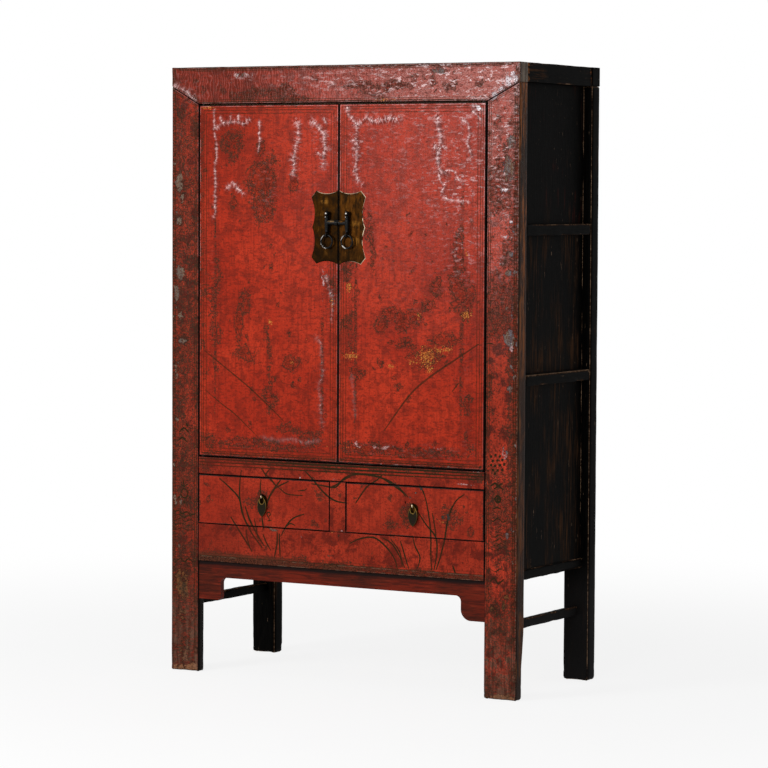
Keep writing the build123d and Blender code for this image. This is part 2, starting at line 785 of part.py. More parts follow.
# ---- Doors -------------------------------------------------------------------------------
for side, sign in sides.items():
    outer = hinge_edge[side]
    free = free_edge[side]
    hinge_inner = outer - sign * door_frame_width
    meeting_inner = free + sign * door_frame_width
    field_x = span(hinge_inner, meeting_inner)
    field_z = (door_z[0] + door_frame_width, door_z[1] - door_frame_width)
    tongue_door_y = (door_y[0] + door_panel_thickness - door_tongue_thickness,
                     door_y[0] + door_panel_thickness)
    door_tongue = Bar(
        (field_x[0] - groove_depth, field_x[1] + groove_depth),
        tongue_door_y,
        (field_z[0] - groove_depth, field_z[1] + groove_depth),
    )
    door_tenon_x = (field_x[0] - door_tenon_length, field_x[1] + door_tenon_length)
    door_tenon_height = door_frame_width - groove_depth - tenon_shoulder - 2 * tenon_past_groove
    door_tenon_y = about(middle_of(door_y), door_tenon_thickness)
    rail_pieces = []
    for rail_z, tenon_z in (
        ((door_z[0], field_z[0]),
         (door_z[0] + tenon_shoulder, door_z[0] + tenon_shoulder + door_tenon_height)),
        ((field_z[1], door_z[1]),
         (door_z[1] - tenon_shoulder - door_tenon_height, door_z[1] - tenon_shoulder)),
    ):
        rail_pieces.append((Bar(field_x, door_y, rail_z), Bar(door_tenon_x, door_tenon_y, tenon_z)))
    batten_y = (tongue_door_y[1], tongue_door_y[1] + door_batten_thickness)
    for batten_middle in (field_z[0] + door_batten_inset, field_z[1] - door_batten_inset):
        batten_tenon = Bar((field_x[0] - groove_depth, field_x[1] + groove_depth),
                           about(middle_of(batten_y), door_batten_thickness / 2),
                           about(batten_middle, door_batten_height - tenon_shoulder))
        rail_pieces.append((Bar(field_x, batten_y, about(batten_middle, door_batten_height)),
                            batten_tenon))

    with BuildPart() as hinge_stile:
        Bar(span(outer, hinge_inner), door_y, door_z).put()
        front_edges = hinge_stile.edges().filter_by(Axis.Z).group_by(Axis.Y)[0]
        fillet(front_edges.sort_by(Axis.X)[0 if sign < 0 else -1], door_edge_round)
        # The heel is rounded about the pivot, so that it clears the door stops as it turns.
        back_edges = hinge_stile.edges().filter_by(Axis.Z).group_by(Axis.Y)[-1]
        fillet(back_edges.sort_by(Axis.X)[0 if sign < 0 else -1], pivot_from_edge)
        with BuildSketch(Plane.XY.offset(bottom_pivot_end)):
            with Locations((pivot_x[side], pivot_y)):
                Circle(pivot_radius)
        extrude(amount=top_pivot_end - bottom_pivot_end)
        door_tongue.house()
        for body, tenon in rail_pieces:
            tenon.house()
    save(hinge_stile, f"{side}_door_hinge_stile")

    with BuildPart() as meeting_stile:
        Bar(span(free, meeting_inner), door_y, door_z).put()
        door_tongue.house()
        for body, tenon in rail_pieces:
            tenon.house()
        with BuildSketch(front_plane(door_y[1])):
            with Locations((staple_x[side], staple_leg_height)):
                Circle(staple_leg_radius + rivet_clearance)
        extrude(amount=door_thickness, mode=Mode.SUBTRACT)
    save(meeting_stile, f"{side}_door_meeting_stile")

    with BuildPart() as crosspieces:
        for body, tenon in rail_pieces:
            body.put()
            tenon.put()
        door_tongue.house()
    save(crosspieces, f"{side}_door_crosspieces")

    with BuildPart() as door_panel:
        Bar((field_x[0] + joint_clearance, field_x[1] - joint_clearance),
            (door_y[0], tongue_door_y[1]),
            (field_z[0] + joint_clearance, field_z[1] - joint_clearance)).put()
        door_tongue.put()
    save(door_panel, f"{side}_door_panel")

# ---- Locks -------------------------------------------------------------------------------
plate_front = front_y - lock_plate_thickness
staple_y = plate_front - staple_standoff


def plate_point(side, across, up):
    """A point of the lock plate's outline, from its middle on the meeting line, in shares of its peak."""
    return (meeting_x + sides[side] * across * lock_plate_peak, plate_middle + up * lock_plate_peak)


for side, sign in sides.items():
    edge = door_gap / 2 / lock_plate_peak
    with BuildPart() as lock_plate:
        with BuildSketch(front_plane(front_y)):
            with BuildLine():
                Line(plate_point(side, edge, -1), plate_point(side, edge, 1))
                for up in (1, -1):
                    dip, horn_top, horn_side, waist = (
                        plate_point(side, across, up * height)
                        for across, height in (lock_plate_dip, lock_plate_horn_top,
                                               lock_plate_horn_side, lock_plate_waist)
                    )
                    ThreePointArc(plate_point(side, edge, up), dip, horn_top)
                    Line(horn_top, horn_side)
                    ThreePointArc(horn_side, waist, plate_point(side, *lock_plate_bulge))
            make_face()
            with Locations((staple_x[side], staple_leg_height)):
                Circle(staple_leg_radius + rivet_clearance, mode=Mode.SUBTRACT)
        extrude(amount=lock_plate_thickness)
        outline = lock_plate.faces().filter_by(Axis.Y).sort_by(Axis.Y)[0].outer_wire().edges()
        chamfer(outline, lock_plate_chamfer)
    save(lock_plate, f"{side}_lock_plate")

    with BuildPart() as lock_staple:
        with BuildSketch(Plane.XY.offset(staple_eye_height + staple_eye_radius)):
            with Locations((staple_x[side], staple_y)):
                Circle(staple_radius)
        extrude(amount=staple_top - staple_eye_height - staple_eye_radius)
        chamfer(lock_staple.edges().filter_by(GeomType.CIRCLE), staple_radius - staple_neck_radius)
        with BuildSketch(Plane.XY.offset(staple_top - staple_neck_sunk)):
            with Locations((staple_x[side], staple_y)):
                Circle(staple_neck_radius)
        extrude(amount=staple_ball_height - staple_top + staple_neck_sunk)
        with Locations((staple_x[side], staple_y, staple_ball_height)):
            Sphere(staple_ball_radius)
        with Locations(Location((staple_x[side], staple_y, staple_eye_height), (0, 90, 0))):
            Torus(staple_eye_radius, staple_eye_wire)
        with BuildSketch(front_plane(door_y[1] + staple_washer_thickness)):
            with Locations((staple_x[side], staple_leg_height)):
                Circle(staple_leg_radius)
        extrude(amount=door_y[1] + staple_washer_thickness - staple_y)
        with BuildSketch(front_plane(door_y[1] + staple_washer_thickness)):
            with Locations((staple_x[side], staple_leg_height)):
                Circle(staple_washer_radius)
        extrude(amount=staple_washer_thickness)
        bar_end = meeting_x + sign * crossbar_parting / 2
        with BuildSketch(Plane.YZ.offset(bar_end)):
            with Locations((staple_y, staple_leg_height)):
                Circle(crossbar_radius)
        extrude(amount=staple_x[side] - bar_end)
        with BuildSketch(Plane.YZ.offset(bar_end)):
            with Locations((staple_y, staple_leg_height)):
                Circle(crossbar_collar_radius)
        extrude(amount=sign * crossbar_collar_width)
    save(lock_staple, f"{side}_lock_staple")

    with BuildPart() as door_ring:
        ring_middle = staple_eye_height - ring_hang - ring_radius
        with Locations(Location((staple_x[side], staple_y, ring_middle), (90, 0, 0))):
            Torus(ring_radius, ring_wire)
    save(door_ring, f"{side}_door_ring")

# ---- Drawers -----------------------------------------------------------------------------
pull_y = front_y - pull_plate_thickness - pull_eye_radius
for side in sides:
    pull_x = middle_of(drawer_x[side])
    side_boards = drawer_sides(side)
    bottom = drawer_bottom(side)

    with BuildPart() as drawer_front:
        Bar(drawer_x[side], (front_y, front_y + drawer_front_thickness), drawer_front_z).put()
        for board in (*side_boards, bottom):
            board.house()
        with BuildSketch(front_plane(front_y + drawer_front_thickness)):
            with Locations((pull_x, pull_height)):
                Circle(pull_leg_radius + rivet_clearance)
        extrude(amount=drawer_front_thickness, mode=Mode.SUBTRACT)
    save(drawer_front, f"{side}_drawer_front")

    inner_x = (side_boards[0].x[1] + joint_clearance, side_boards[1].x[0] - joint_clearance)
    with BuildPart() as drawer_box:
        for board in side_boards:
            board.put()
        bottom.house()
        bottom.put()
        Bar(inner_x,
            (drawer_rear - drawer_side_thickness, drawer_rear),
            (drawer_bottom_z[1] + joint_clearance, drawer_side_z[1] - drawer_back_drop)).put()
    save(drawer_box, f"{side}_drawer_box")

    with BuildPart() as pull_plate:
        with BuildSketch(front_plane(front_y)):
            with Locations((pull_x, pull_height - pull_plate_below_eye)):
                Circle(pull_plate_radius)
        extrude(amount=pull_plate_thickness)
        chamfer(pull_plate.edges().group_by(Axis.Y)[0], pull_plate_thickness / 2)
        with Locations(Location((pull_x, pull_y, pull_height), (0, 90, 0))):
            Torus(pull_eye_radius, pull_eye_wire)
        with BuildSketch(front_plane(front_y + drawer_front_thickness)):
            with Locations((pull_x, pull_height)):
                Circle(pull_leg_radius)
        extrude(amount=drawer_front_thickness + pull_plate_thickness)
    save(pull_plate, f"{side}_drawer_pull_plate")

    drop_top = pull_height - drop_hang + drop_bar_height / 2
    drop_middle = drop_top - drop_length / 2
    window_top = drop_top - drop_bar_height
    window_middle = window_top - drop_window_length / 2
    with BuildPart() as drop:
        with BuildSketch(front_plane(pull_y + drop_thickness / 2)):
            with BuildLine():
                for way in (1, -1):
                    ThreePointArc((pull_x, drop_top), (pull_x + way * drop_width / 2, drop_middle),
                                  (pull_x, drop_top - drop_length))
            make_face()
            with Locations((pull_x, window_middle)):
                Ellipse(drop_window_width / 2, drop_window_length / 2, mode=Mode.SUBTRACT)
        extrude(amount=drop_thickness)
    save(drop, f"{side}_drawer_drop")
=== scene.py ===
"""A worn red wedding cabinet: boards, lacquer, metalwork and the studio that it stands in."""

import logging
import math
from dataclasses import dataclass, field
from enum import Enum
from itertools import product
from typing import Callable

import bmesh
import bpy
import numpy as np
from mathutils import Matrix, Vector

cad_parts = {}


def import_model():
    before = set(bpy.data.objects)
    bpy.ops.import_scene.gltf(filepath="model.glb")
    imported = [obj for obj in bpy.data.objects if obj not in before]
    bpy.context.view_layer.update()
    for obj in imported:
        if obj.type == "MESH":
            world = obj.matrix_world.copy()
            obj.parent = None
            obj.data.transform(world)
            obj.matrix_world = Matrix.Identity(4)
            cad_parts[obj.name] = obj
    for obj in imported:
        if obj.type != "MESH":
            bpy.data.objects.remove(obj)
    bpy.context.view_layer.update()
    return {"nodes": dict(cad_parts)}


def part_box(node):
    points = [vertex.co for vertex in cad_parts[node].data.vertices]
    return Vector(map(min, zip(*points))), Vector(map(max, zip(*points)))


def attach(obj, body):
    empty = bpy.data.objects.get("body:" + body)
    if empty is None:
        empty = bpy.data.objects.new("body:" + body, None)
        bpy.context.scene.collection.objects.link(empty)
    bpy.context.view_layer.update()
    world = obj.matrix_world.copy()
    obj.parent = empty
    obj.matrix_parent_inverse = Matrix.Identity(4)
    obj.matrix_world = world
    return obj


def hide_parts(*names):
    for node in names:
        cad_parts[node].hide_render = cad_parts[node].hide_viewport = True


log = logging.getLogger("cabinet")

MM = 0.001
RUBBED_ALL_OVER = 3.0  # a shine that leaves no arris sharp
SIDES: dict[str, int] = {"left": -1, "right": 1}
Point2 = tuple[float, float]
Point3 = tuple[float, float, float]
Tint = tuple[float, float, float, float]
Material = bpy.types.Material


# ---- Sizes shared by the sub-assemblies --------------------
@dataclass(frozen=True)
class Layout:
    """The cabinet's main sizes in millimetres, in the frame of its solids."""

    half_width: float = 585.0
    half_depth: float = 251.0
    height: float = 1800.0
    post_top: float = 1744.0
    top_rail_bottom: float = 1690.0
    post_depth: float = 50.0
    left_inner: float = -488.0
    right_inner: float = 481.0
    rear_inner: float = 503.0
    rail_depth: float = 44.0
    middle_rail: Point2 = (594.0, 646.0)
    bottom_rail: Point2 = (333.0, 446.0)
    divider: Point2 = (-30.5, 23.5)
    meeting: float = -3.5
    swing_reach: float = 459.5

    @property
    def front(self) -> float:
        """The depth of the front plane."""
        return -self.half_depth

    def inner(self, side: str) -> float:
        """X of the inner face of one front post."""
        return self.left_inner if side == "left" else self.right_inner


LAYOUT = Layout()


def linear(red: int, green: int, blue: int) -> Tint:
    """Turns an eight-bit display colour into the linear colour that a shader takes.

    Args:
        red, green, blue: the display values, 0 to 255.

    Returns:
        The linear colour with an alpha of one.
    """
    values = []
    for level in (red, green, blue):
        share = level / 255
        values.append(share / 12.92 if share <= 0.04045 else ((share + 0.055) / 1.055) ** 2.4)
    return (*values, 1.0)


# ---- Noise worked out on the meshes --------------------
def lattice_noise(points: np.ndarray, seed: int) -> np.ndarray:
    """Smooth noise with one random value at each whole-numbered place.

    Args:
        points: an array of three columns, in cells.
        seed: which noise of many.

    Returns:
        One value per point, from -1 to 1.
    """
    cell = np.floor(points).astype(np.int64)
    part = points - cell
    part = part * part * (3 - 2 * part)
    total = np.zeros(len(points))
    for corner in product((0, 1), repeat=3):
        key = (cell + np.array(corner)).astype(np.uint64)
        mixed = key[:, 0] * np.uint64(73856093) ^ key[:, 1] * np.uint64(19349663)
        mixed = mixed ^ key[:, 2] * np.uint64(83492791) ^ np.uint64(seed * 7919 + 17)
        mixed = (mixed ^ (mixed >> np.uint64(15))) * np.uint64(2246822519)
        mixed = (mixed ^ (mixed >> np.uint64(13))) * np.uint64(3266489917)
        value = ((mixed ^ (mixed >> np.uint64(16))) & np.uint64(0xFFFF)).astype(float) / 32767.5 - 1
        weight = np.prod(np.where(corner, part, 1 - part), axis=1)
        total += value * weight
    return total


def cloud(points: np.ndarray, size: float | Point3, seed: int, octaves: int = 3) -> np.ndarray:
    """Noise of several sizes on top of each other.

    Args:
        points: places in millimetres.
        size: the largest grain in millimetres, one for all axes or one for each.
        seed: which noise of many.
        octaves: how many sizes, each half the one before.

    Returns:
        One value per point, about -1 to 1.
    """
    total = np.zeros(len(points))
    share = 1.0
    for octave in range(octaves):
        total += share * lattice_noise(points / (np.array(size) / 2**octave), seed + 31 * octave)
        share *= 0.55
    return total


def smooth(value: np.ndarray, low: float, high: float) -> np.ndarray:
    """Rises from 0 to 1 with no corners as the value goes from low to high."""
    share = np.clip((value - low) / (high - low), 0, 1)
    return share * share * (3 - 2 * share)


def course_distance(x: np.ndarray, z: np.ndarray, course: tuple[Point2, ...],
                    reach: float) -> tuple[np.ndarray, np.ndarray]:
    """How far points lie from a line of straight runs.

    Args:
        x, z: the points.
        course: the line's corners.
        reach: distance beyond which the exact value doesn't matter.

    Returns:
        The distances, and for each the share of the line's length gone at its nearest place.
    """
    corners = np.array(course, float)
    distance = np.full(len(x), 1e3)
    share = np.zeros(len(x))
    near = ((x > corners[:, 0].min() - reach) & (x < corners[:, 0].max() + reach)
            & (z > corners[:, 1].min() - reach) & (z < corners[:, 1].max() + reach))
    spots = np.nonzero(near)[0]
    if not len(spots):
        return distance, share
    runs = np.linalg.norm(np.diff(corners, axis=0), axis=1)
    gone = np.concatenate([[0], np.cumsum(runs)])
    points = np.stack([x[spots], z[spots]], axis=1)
    best = np.full(len(spots), 1e3)
    where = np.zeros(len(spots))
    for start, end, run, before in zip(corners[:-1], corners[1:], runs, gone):
        step = np.clip(((points - start) @ (end - start)) / max(run * run, 1e-9), 0, 1)
        away = np.linalg.norm(points - start - step[:, None] * (end - start), axis=1)
        closer = away < best
        best[closer] = away[closer]
        where[closer] = (before + step[closer] * run) / gone[-1]
    distance[spots] = best
    share[spots] = where
    return distance, share


def ring_faces(rings: int, count: int, shut: bool = False) -> list[tuple[int, ...]]:
    """The faces of a form made of rings of points.

    Args:
        rings: how many rings.
        count: the points of each ring.
        shut: whether the last ring joins the first, which leaves no ends to cap.

    Returns:
        The faces between the rings, then a cap for each open end.
    """
    ring = np.arange(rings if shut else rings - 1)[:, None]
    here = np.arange(count)[None, :]
    after = (here + 1) % count
    below = (ring + 1) % rings * count
    ring = ring * count
    quads = np.stack([ring + here, ring + after, below + after, below + here], axis=2)
    faces = [tuple(quad) for quad in quads.reshape(-1, 4).tolist()]
    if not shut:
        faces += [tuple(range(count))[::-1], tuple(range((rings - 1) * count, rings * count))]
    return faces


def bent(course: tuple[Point2, ...], pieces: int = 8) -> tuple[Point2, ...]:
    """Rounds a line of straight runs into a flowing one through the same points.

    Args:
        course: the points that it passes.
        pieces: how many short runs replace each run.

    Returns:
        The points of the flowing line.
    """
    points = np.array(course, float)
    if len(points) < 3:
        return course
    padded = np.vstack([2 * points[0] - points[1], points, 2 * points[-1] - points[-2]])
    out: list[Point2] = []
    for before, start, end, after in zip(padded, padded[1:], padded[2:], padded[3:]):
        for number in range(pieces):
            t = number / pieces
            spot = 0.5 * (2 * start + (end - before) * t
                          + (2 * before - 5 * start + 4 * end - after) * t**2
                          + (3 * start - before - 3 * end + after) * t**3)
            out.append((float(spot[0]), float(spot[1])))
    out.append((float(points[-1][0]), float(points[-1][1])))
    return tuple(out)


# ---- What age and the painter left on the front --------------------
@dataclass(frozen=True)
class Wrinkle:
    """A fold that the lacquer's cloth has raised, with its course over the front."""

    course: tuple[Point2, ...]
    height: float = 2.0
    width: float = 3.4


@dataclass(frozen=True)
class Blot:
    """A patch of the front: its middle, its reach both ways, how strong it is and how square."""

    x: float
    z: float
    wide: float
    tall: float
    strength: float = 1.0
    power: int = 2

    def cover(self, x: np.ndarray, z: np.ndarray) -> np.ndarray:
        """How strongly the patch covers each point.

        Args:
            x: the points' places across the front.
            z: the points' heights.

        Returns:
            0 for nothing, up to the patch's strength.
        """
        across = np.clip(np.abs(x - self.x) / self.wide, 0, 3)
        upward = np.clip(np.abs(z - self.z) / self.tall, 0, 3)
        return self.strength * np.exp(-(across**self.power) - upward**self.power)


def scattered(seed: int, count: int, across: Point2, upward: Point2, reach: Point2,
              strength: Point2, stretch: float = 1.6) -> tuple[Blot, ...]:
    """Strews small patches over a part of the front.

    Args:
        seed: what the places are drawn from.
        count: how many.
        across, upward: the part's limits.
        reach: the least and the greatest half width.
        strength: the least and the greatest strength.
        stretch: how much taller than wide they may be.

    Returns:
        The patches.
    """
    rng = np.random.default_rng(seed)
    wide = rng.uniform(*reach, count)
    tall = wide * rng.uniform(0.8, stretch, count)
    rows = zip(rng.uniform(*across, count), rng.uniform(*upward, count), wide, tall,
               rng.uniform(*strength, count))
    return tuple(Blot(*(float(value) for value in row)) for row in rows)


@dataclass(frozen=True)
class Blade:
    """One painted stroke of orchid grass, swelling towards its middle."""

    course: tuple[Point2, ...]
    width: float = 3.2


def pairs(row: tuple[float, ...]) -> tuple[Point2, ...]:
    """Cuts a row of numbers into points."""
    return tuple(zip(row[::2], row[1::2]))


def folds(*rows: tuple[float, ...]) -> tuple[Wrinkle, ...]:
    """Folds from rows of a height, a width and the course."""
    return tuple(Wrinkle(pairs(row[2:]), *row[:2]) for row in rows)


def blots(*rows: "tuple[float, ...] | Blot") -> tuple[Blot, ...]:
    """Patches from rows of their fields, or as they are."""
    return tuple(row if isinstance(row, Blot) else Blot(*row) for row in rows)


def strokes(*rows: tuple[float, ...]) -> tuple[Blade, ...]:
    """Strokes from rows of a width and the course."""
    return tuple(Blade(pairs(row[1:]), row[0]) for row in rows)


@dataclass
class Front:
    """The marks on the whole front, the same for every board that shows a part of it."""

    wrinkles: tuple[Wrinkle, ...] = folds(
        (1.3, 2.6, -433, 1675, -433, 1621, -427, 1579, -424, 1529, -431, 1507, -428, 1450, -431,
         1404, -428, 1375, -441, 1350),
        (2.2, 3.4, -429, 1618, -408, 1632, -369, 1639, -331, 1633, -306, 1645),
        (1.6, 2.2, -412, 1652, -403, 1634), (1.6, 2.2, -378, 1658, -373, 1635),
        (1.6, 2.2, -348, 1658, -346, 1637),
        (1.5, 3.0, -277, 1638, -276, 1606, -273, 1571, -280, 1550),
        (2.0, 5.4, -149, 1637, -141, 1620, -143, 1592, -151, 1556, -161, 1528, -155, 1500, -163,
         1472),
        (2.3, 4.8, -96, 1637, -65, 1616, -52, 1598, -54, 1567, -48, 1556, -56, 1539, -58, 1507),
        (2.0, 2.4, -77, 1546, -56, 1532), (1.6, 2.2, -57, 1647, -45, 1630),
        (2.0, 4.0, -386, 1443, -369, 1459, -352, 1443, -331, 1426),
        (1.2, 4.6, -78, 1012, -60, 988, -58, 956, -57, 897, -70, 868, -61, 829, -61, 780, -53, 748),
        (1.4, 3.4, -46, 1189, -34, 1154, -21, 1112, -25, 1084, -27, 1056),
        (0.9, 5.0, -158, 709, -118, 703, -64, 710), (0.35, 6.0, -262, 712, -205, 706, -158, 709),
        (2.0, 4.0, 21, 1677, 29, 1655, 47, 1636, 57, 1614, 53, 1585, 58, 1541, 52, 1512, 54, 1475,
         65, 1460, 82, 1453), (1.6, 2.0, 38, 1579, 66, 1580), (1.6, 2.0, 43, 1559, 68, 1560),
        (1.6, 2.0, 43, 1539, 68, 1540), (1.6, 2.0, 45, 1495, 67, 1497),
        (2.7, 4.6, 59, 1629, 89, 1647, 106, 1636, 136, 1637, 157, 1646, 186, 1635, 199, 1642),
        (2.5, 5.0, 322, 1645, 326, 1613, 333, 1587, 329, 1562, 325, 1540, 327, 1512, 338, 1490, 350,
         1486), (2.2, 3.0, 310, 1568, 325, 1548, 341, 1564, 350, 1558),
        (1.8, 2.8, 327, 1483, 334, 1461, 346, 1454, 335, 1429),
        (1.8, 2.8, 403, 1637, 421, 1626, 425, 1601, 417, 1569, 432, 1537),
        (2.2, 3.4, 435, 1676, 451, 1676, 464, 1665), (1.8, 2.4, 435, 1662, 460, 1640),
        (1.2, 2.6, 350, 1497, 379, 1494, 387, 1472, 400, 1458),
        (1.0, 3.0, 338, 1421, 380, 1407, 429, 1407), (0.5, 4.6, 42, 905, 51, 861, 51, 816, 55, 780),
        (2.2, 4.5, -575, 1748, -545, 1733, -520, 1716, -495, 1697),
        (2.4, 5.0, 575, 1745, 548, 1741, 515, 1716, 492, 1697))
    rippled: tuple[Blot, ...] = blots(
        (-330, 1760, 70, 20, 0.7), (-200, 1755, 90, 30, 0.6), (-60, 1755, 160, 30, 0.8),
        (330, 1755, 260, 34), (545, 1755, 40, 30, 1.4), (500, 1700, 30, 25, 1.2),
        (535, 1560, 40, 110), (525, 1380, 40, 110, 0.6), (520, 1230, 40, 120, 0.5),
        (390, 1440, 80, 90, 0.8), (400, 1250, 60, 80, 0.7), (60, 1560, 30, 90, 0.7),
        (-55, 1560, 34, 80, 0.8), (-150, 1510, 24, 60, 0.8), (-380, 1640, 60, 20, 0.8),
        (-263, 1440, 60, 90, 0.6), (-20, 1120, 24, 90, 0.8), (-520, 1715, 40, 40, 0.7),
        (-60, 800, 24, 160, 0.5), (60, 700, 60, 40, 0.6), (430, 720, 60, 60, 0.6),
        (-245, 690, 200, 22, 0.6, 4), (238, 692, 220, 26, 0.8, 4), (40, 860, 20, 160, 0.5),
        (408, 900, 26, 200, 0.5), (230, 1080, 120, 60, 0.5), (-440, 1100, 20, 260, 0.4))
    worn: tuple[Blot, ...] = blots(
        (-369, 1564, 45, 50, 0.75), (-263, 1465, 62, 62), (-263, 1387, 40, 40, 0.8),
        (-155, 1460, 26, 32, 0.8), (-360, 1408, 18, 26, 0.8), (-386, 1600, 30, 20, 0.6),
        (-276, 1557, 16, 28, 0.8), (-347, 1040, 14, 60), (-326, 1106, 22, 36, 0.8),
        (-325, 952, 34, 20, 0.9), (-424, 1147, 20, 90, 0.55), (-425, 1218, 22, 40, 0.5),
        (-240, 830, 30, 40, 0.7), (-161, 936, 26, 22, 0.8), (-219, 881, 20, 12, 0.8),
        (-237, 972, 16, 60, 0.6), (-249, 1030, 14, 20, 0.7), (-430, 1010, 26, 200, 0.35),
        (-30, 1160, 26, 60, 0.6), (-450, 690, 40, 26, 0.6), (-300, 690, 180, 16, 0.7),
        (-90, 720, 50, 40, 0.6), (-470, 1560, 8, 120, 0.4), (-180, 745, 60, 20, 0.5),
        (139, 1058, 20, 24), (165, 1078, 50, 18, 0.7), (207, 1064, 24, 30),
        (244, 1079, 30, 30, 0.9), (280, 1110, 34, 20, 0.7), (315, 1161, 26, 40, 0.8),
        (389, 1263, 16, 60, 0.8), (394, 1155, 30, 60, 0.8), (431, 1130, 18, 40, 0.9),
        (27, 1203, 26, 36, 0.7), (30, 1030, 26, 90, 0.5), (63, 909, 22, 24, 0.7),
        (349, 1010, 60, 22, 0.8), (224, 998, 40, 22, 0.6), (425, 827, 20, 36, 0.8),
        (199, 873, 22, 10, 0.6), (430, 740, 24, 60, 0.5), (90, 700, 90, 22, 0.8),
        (260, 690, 140, 14, 0.8), (290, 965, 60, 34, 0.7), (420, 1092, 26, 20, 0.8),
        (60, 1380, 20, 60, 0.5), (110, 1280, 16, 80, 0.7), (94, 1330, 12, 60, 0.8),
        (-310, 1715, 50, 18, 0.9), (-215, 1725, 60, 14, 0.8), (-160, 1708, 50, 14, 0.9),
        (60, 1738, 60, 14, 0.9), (180, 1742, 60, 12, 0.9), (110, 1712, 50, 10, 0.8),
        (-505, 1180, 60, 420, 0.42), (-550, 1450, 24, 90, 0.6), (-530, 640, 60, 120, 0.4),
        (-535, 500, 44, 60, 0.5), (-540, 330, 44, 60, 0.8), (-530, 120, 50, 150, 1.1),
        (520, 1450, 50, 60, 0.6), (530, 1100, 40, 90, 0.5), (525, 560, 60, 90, 0.4),
        (545, 470, 30, 60, 0.5), (530, 180, 50, 90, 0.5), (530, 30, 60, 40, 0.8),
        (-250, 340, 260, 14, 1.2), (200, 340, 280, 10, 0.9), (-30, 345, 40, 14, 1.2),
        (-440, 348, 60, 20, 0.9), (-470, 620, 30, 22, 0.6), (0, 640, 480, 6, 0.8),
        (176, 482, 30, 24, 0.6), (236, 520, 34, 30, 0.9), (370, 505, 50, 36, 0.55),
        (-300, 520, 22, 20, 0.6), (-458, 571, 12, 10, 0.7), (-456, 517, 9, 8, 0.8),
        (-77, 466, 10, 8, 0.7), (434, 469, 12, 10, 0.7), (74, 575, 10, 8, 0.6),
        (-60, 560, 40, 24, 0.4), (450, 640, 40, 20, 0.7), (-545, 262, 26, 44, 1.1),
        (-550, 182, 22, 34), (504, 262, 13, 18, 1.2), (538, 262, 9, 20, 1.2), (546, 292, 16, 22),
        (-570, 380, 16, 60, 0.7), (560, 470, 16, 90, 0.7), (-500, 90, 26, 60, 0.4),
        (-560, 700, 22, 60, 0.6), (-560, 1290, 22, 90, 0.7), (-268, 520, 24, 26),
        (236, 512, 26, 30, 1.1), (-540, 300, 40, 90, 0.6),
        *scattered(1, 46, (-580, -494), (340, 1680), (6, 18), (0.5, 0.85), 2.4),
        *scattered(2, 40, (490, 580), (240, 1680), (5, 15), (0.45, 0.8), 2.4),
        *scattered(3, 40, (-480, -10), (660, 1480), (3, 8), (0.5, 0.9)),
        *scattered(4, 44, (5, 475), (660, 1400), (3, 8), (0.5, 0.9)),
        *scattered(5, 22, (-480, 475), (352, 590), (3, 7), (0.5, 0.85)),
        *scattered(6, 20, (-560, 480), (1706, 1760), (5, 14), (0.5, 0.9), 1.0))
    lifted: tuple[Blot, ...] = blots(
        (562, 1756, 20, 22), (548, 1738, 16, 9), (528, 1722, 16, 8, 0.8), (505, 1706, 12, 12, 0.9),
        (-340, 1772, 42, 14, 0.6), (448, 1670, 16, 9, 0.8), (-565, 1752, 22, 9, 0.5),
        (-530, 1728, 22, 8, 0.6), (-498, 1703, 10, 10, 0.5), (545, 700, 14, 18, 0.6),
        (140, 700, 60, 10, 0.55), (60, 706, 30, 12, 0.6), (-130, 704, 60, 8, 0.4),
        (330, 700, 50, 10, 0.45), (520, 1235, 20, 60, 0.25), (-55, 1170, 8, 60, 0.5),
        (-486, 620, 8, 10, 0.5), (486, 612, 8, 12, 0.4), (-132, 597, 3.5, 3.5, 1.1),
        (12, 451, 9, 1.5, 0.9), (-128, 425, 3, 5, 0.8), (420, 606, 26, 3, 0.8),
        (465, 645, 24, 4, 0.6), (180, 652, 120, 2.5, 0.5), (-20, 600, 16, 2, 0.5),
        (565, 1000, 6, 16, 0.8), (548, 1310, 18, 6, 0.7), (560, 1350, 10, 10, 0.6),
        (540, 1440, 20, 8, 0.5))
    rubbed: tuple[Blot, ...] = blots(
        (-3, 341, 480, 9, 1.3, 8), (-560, 130, 26, 150, 0.9, 4), (-520, 60, 60, 60, 0.7, 4),
        (-245, 656, 236, 7, 0.9, 6), (238, 656, 236, 8, 0.95, 6), (-3, 645, 480, 5, 0.8, 6),
        (-245, 684, 190, 12, 0.5, 4), (238, 690, 200, 14, 0.6, 4), (-580, 900, 14, 900, 0.95, 6),
        (578, 900, 13, 900, 0.8, 6), (-560, 900, 30, 900, 0.42, 4), (566, 900, 16, 640, 0.4, 4),
        (0, 1796, 580, 6, 0.8, 6), (-429, 1180, 5, 470, 0.5, 4), (-57, 900, 6, 190, 0.5, 4),
        (55, 1000, 6, 320, 0.5, 4), (404, 1100, 8, 420, 0.42, 4), (-3, 448, 480, 2, 0.5, 6),
        (-3, 592, 480, 2, 0.5, 6), (-491, 900, 4, 560, 0.6, 4), (484, 900, 4, 560, 0.6, 4),
        (0, 1694, 480, 3, 0.7, 6))
    gilt: tuple[Blot, ...] = blots(
        (291, 964, 40, 34, 0.85), (330, 985, 50, 16, 0.7), (42, 960, 30, 14, 0.9),
        (32, 1159, 11, 18), (419, 1087, 20, 16, 0.9), (174, 935, 14, 9, 0.9), (362, 988, 12, 9),
        (265, 1083, 11, 12, 0.8), (418, 1264, 7, 20, 0.7), (300, 931, 16, 18, 0.8),
        (-237, 1051, 10, 12, 0.9), (-455, 1682, 26, 8, 0.8), (-160, 935, 8, 10, 0.8),
        (150, 1697, 60, 4, 0.7), (60, 694, 60, 4, 0.5), (240, 950, 20, 14, 0.7),
        (-25, 1110, 6, 30, 0.7), (344, 497, 14, 8, 0.7))
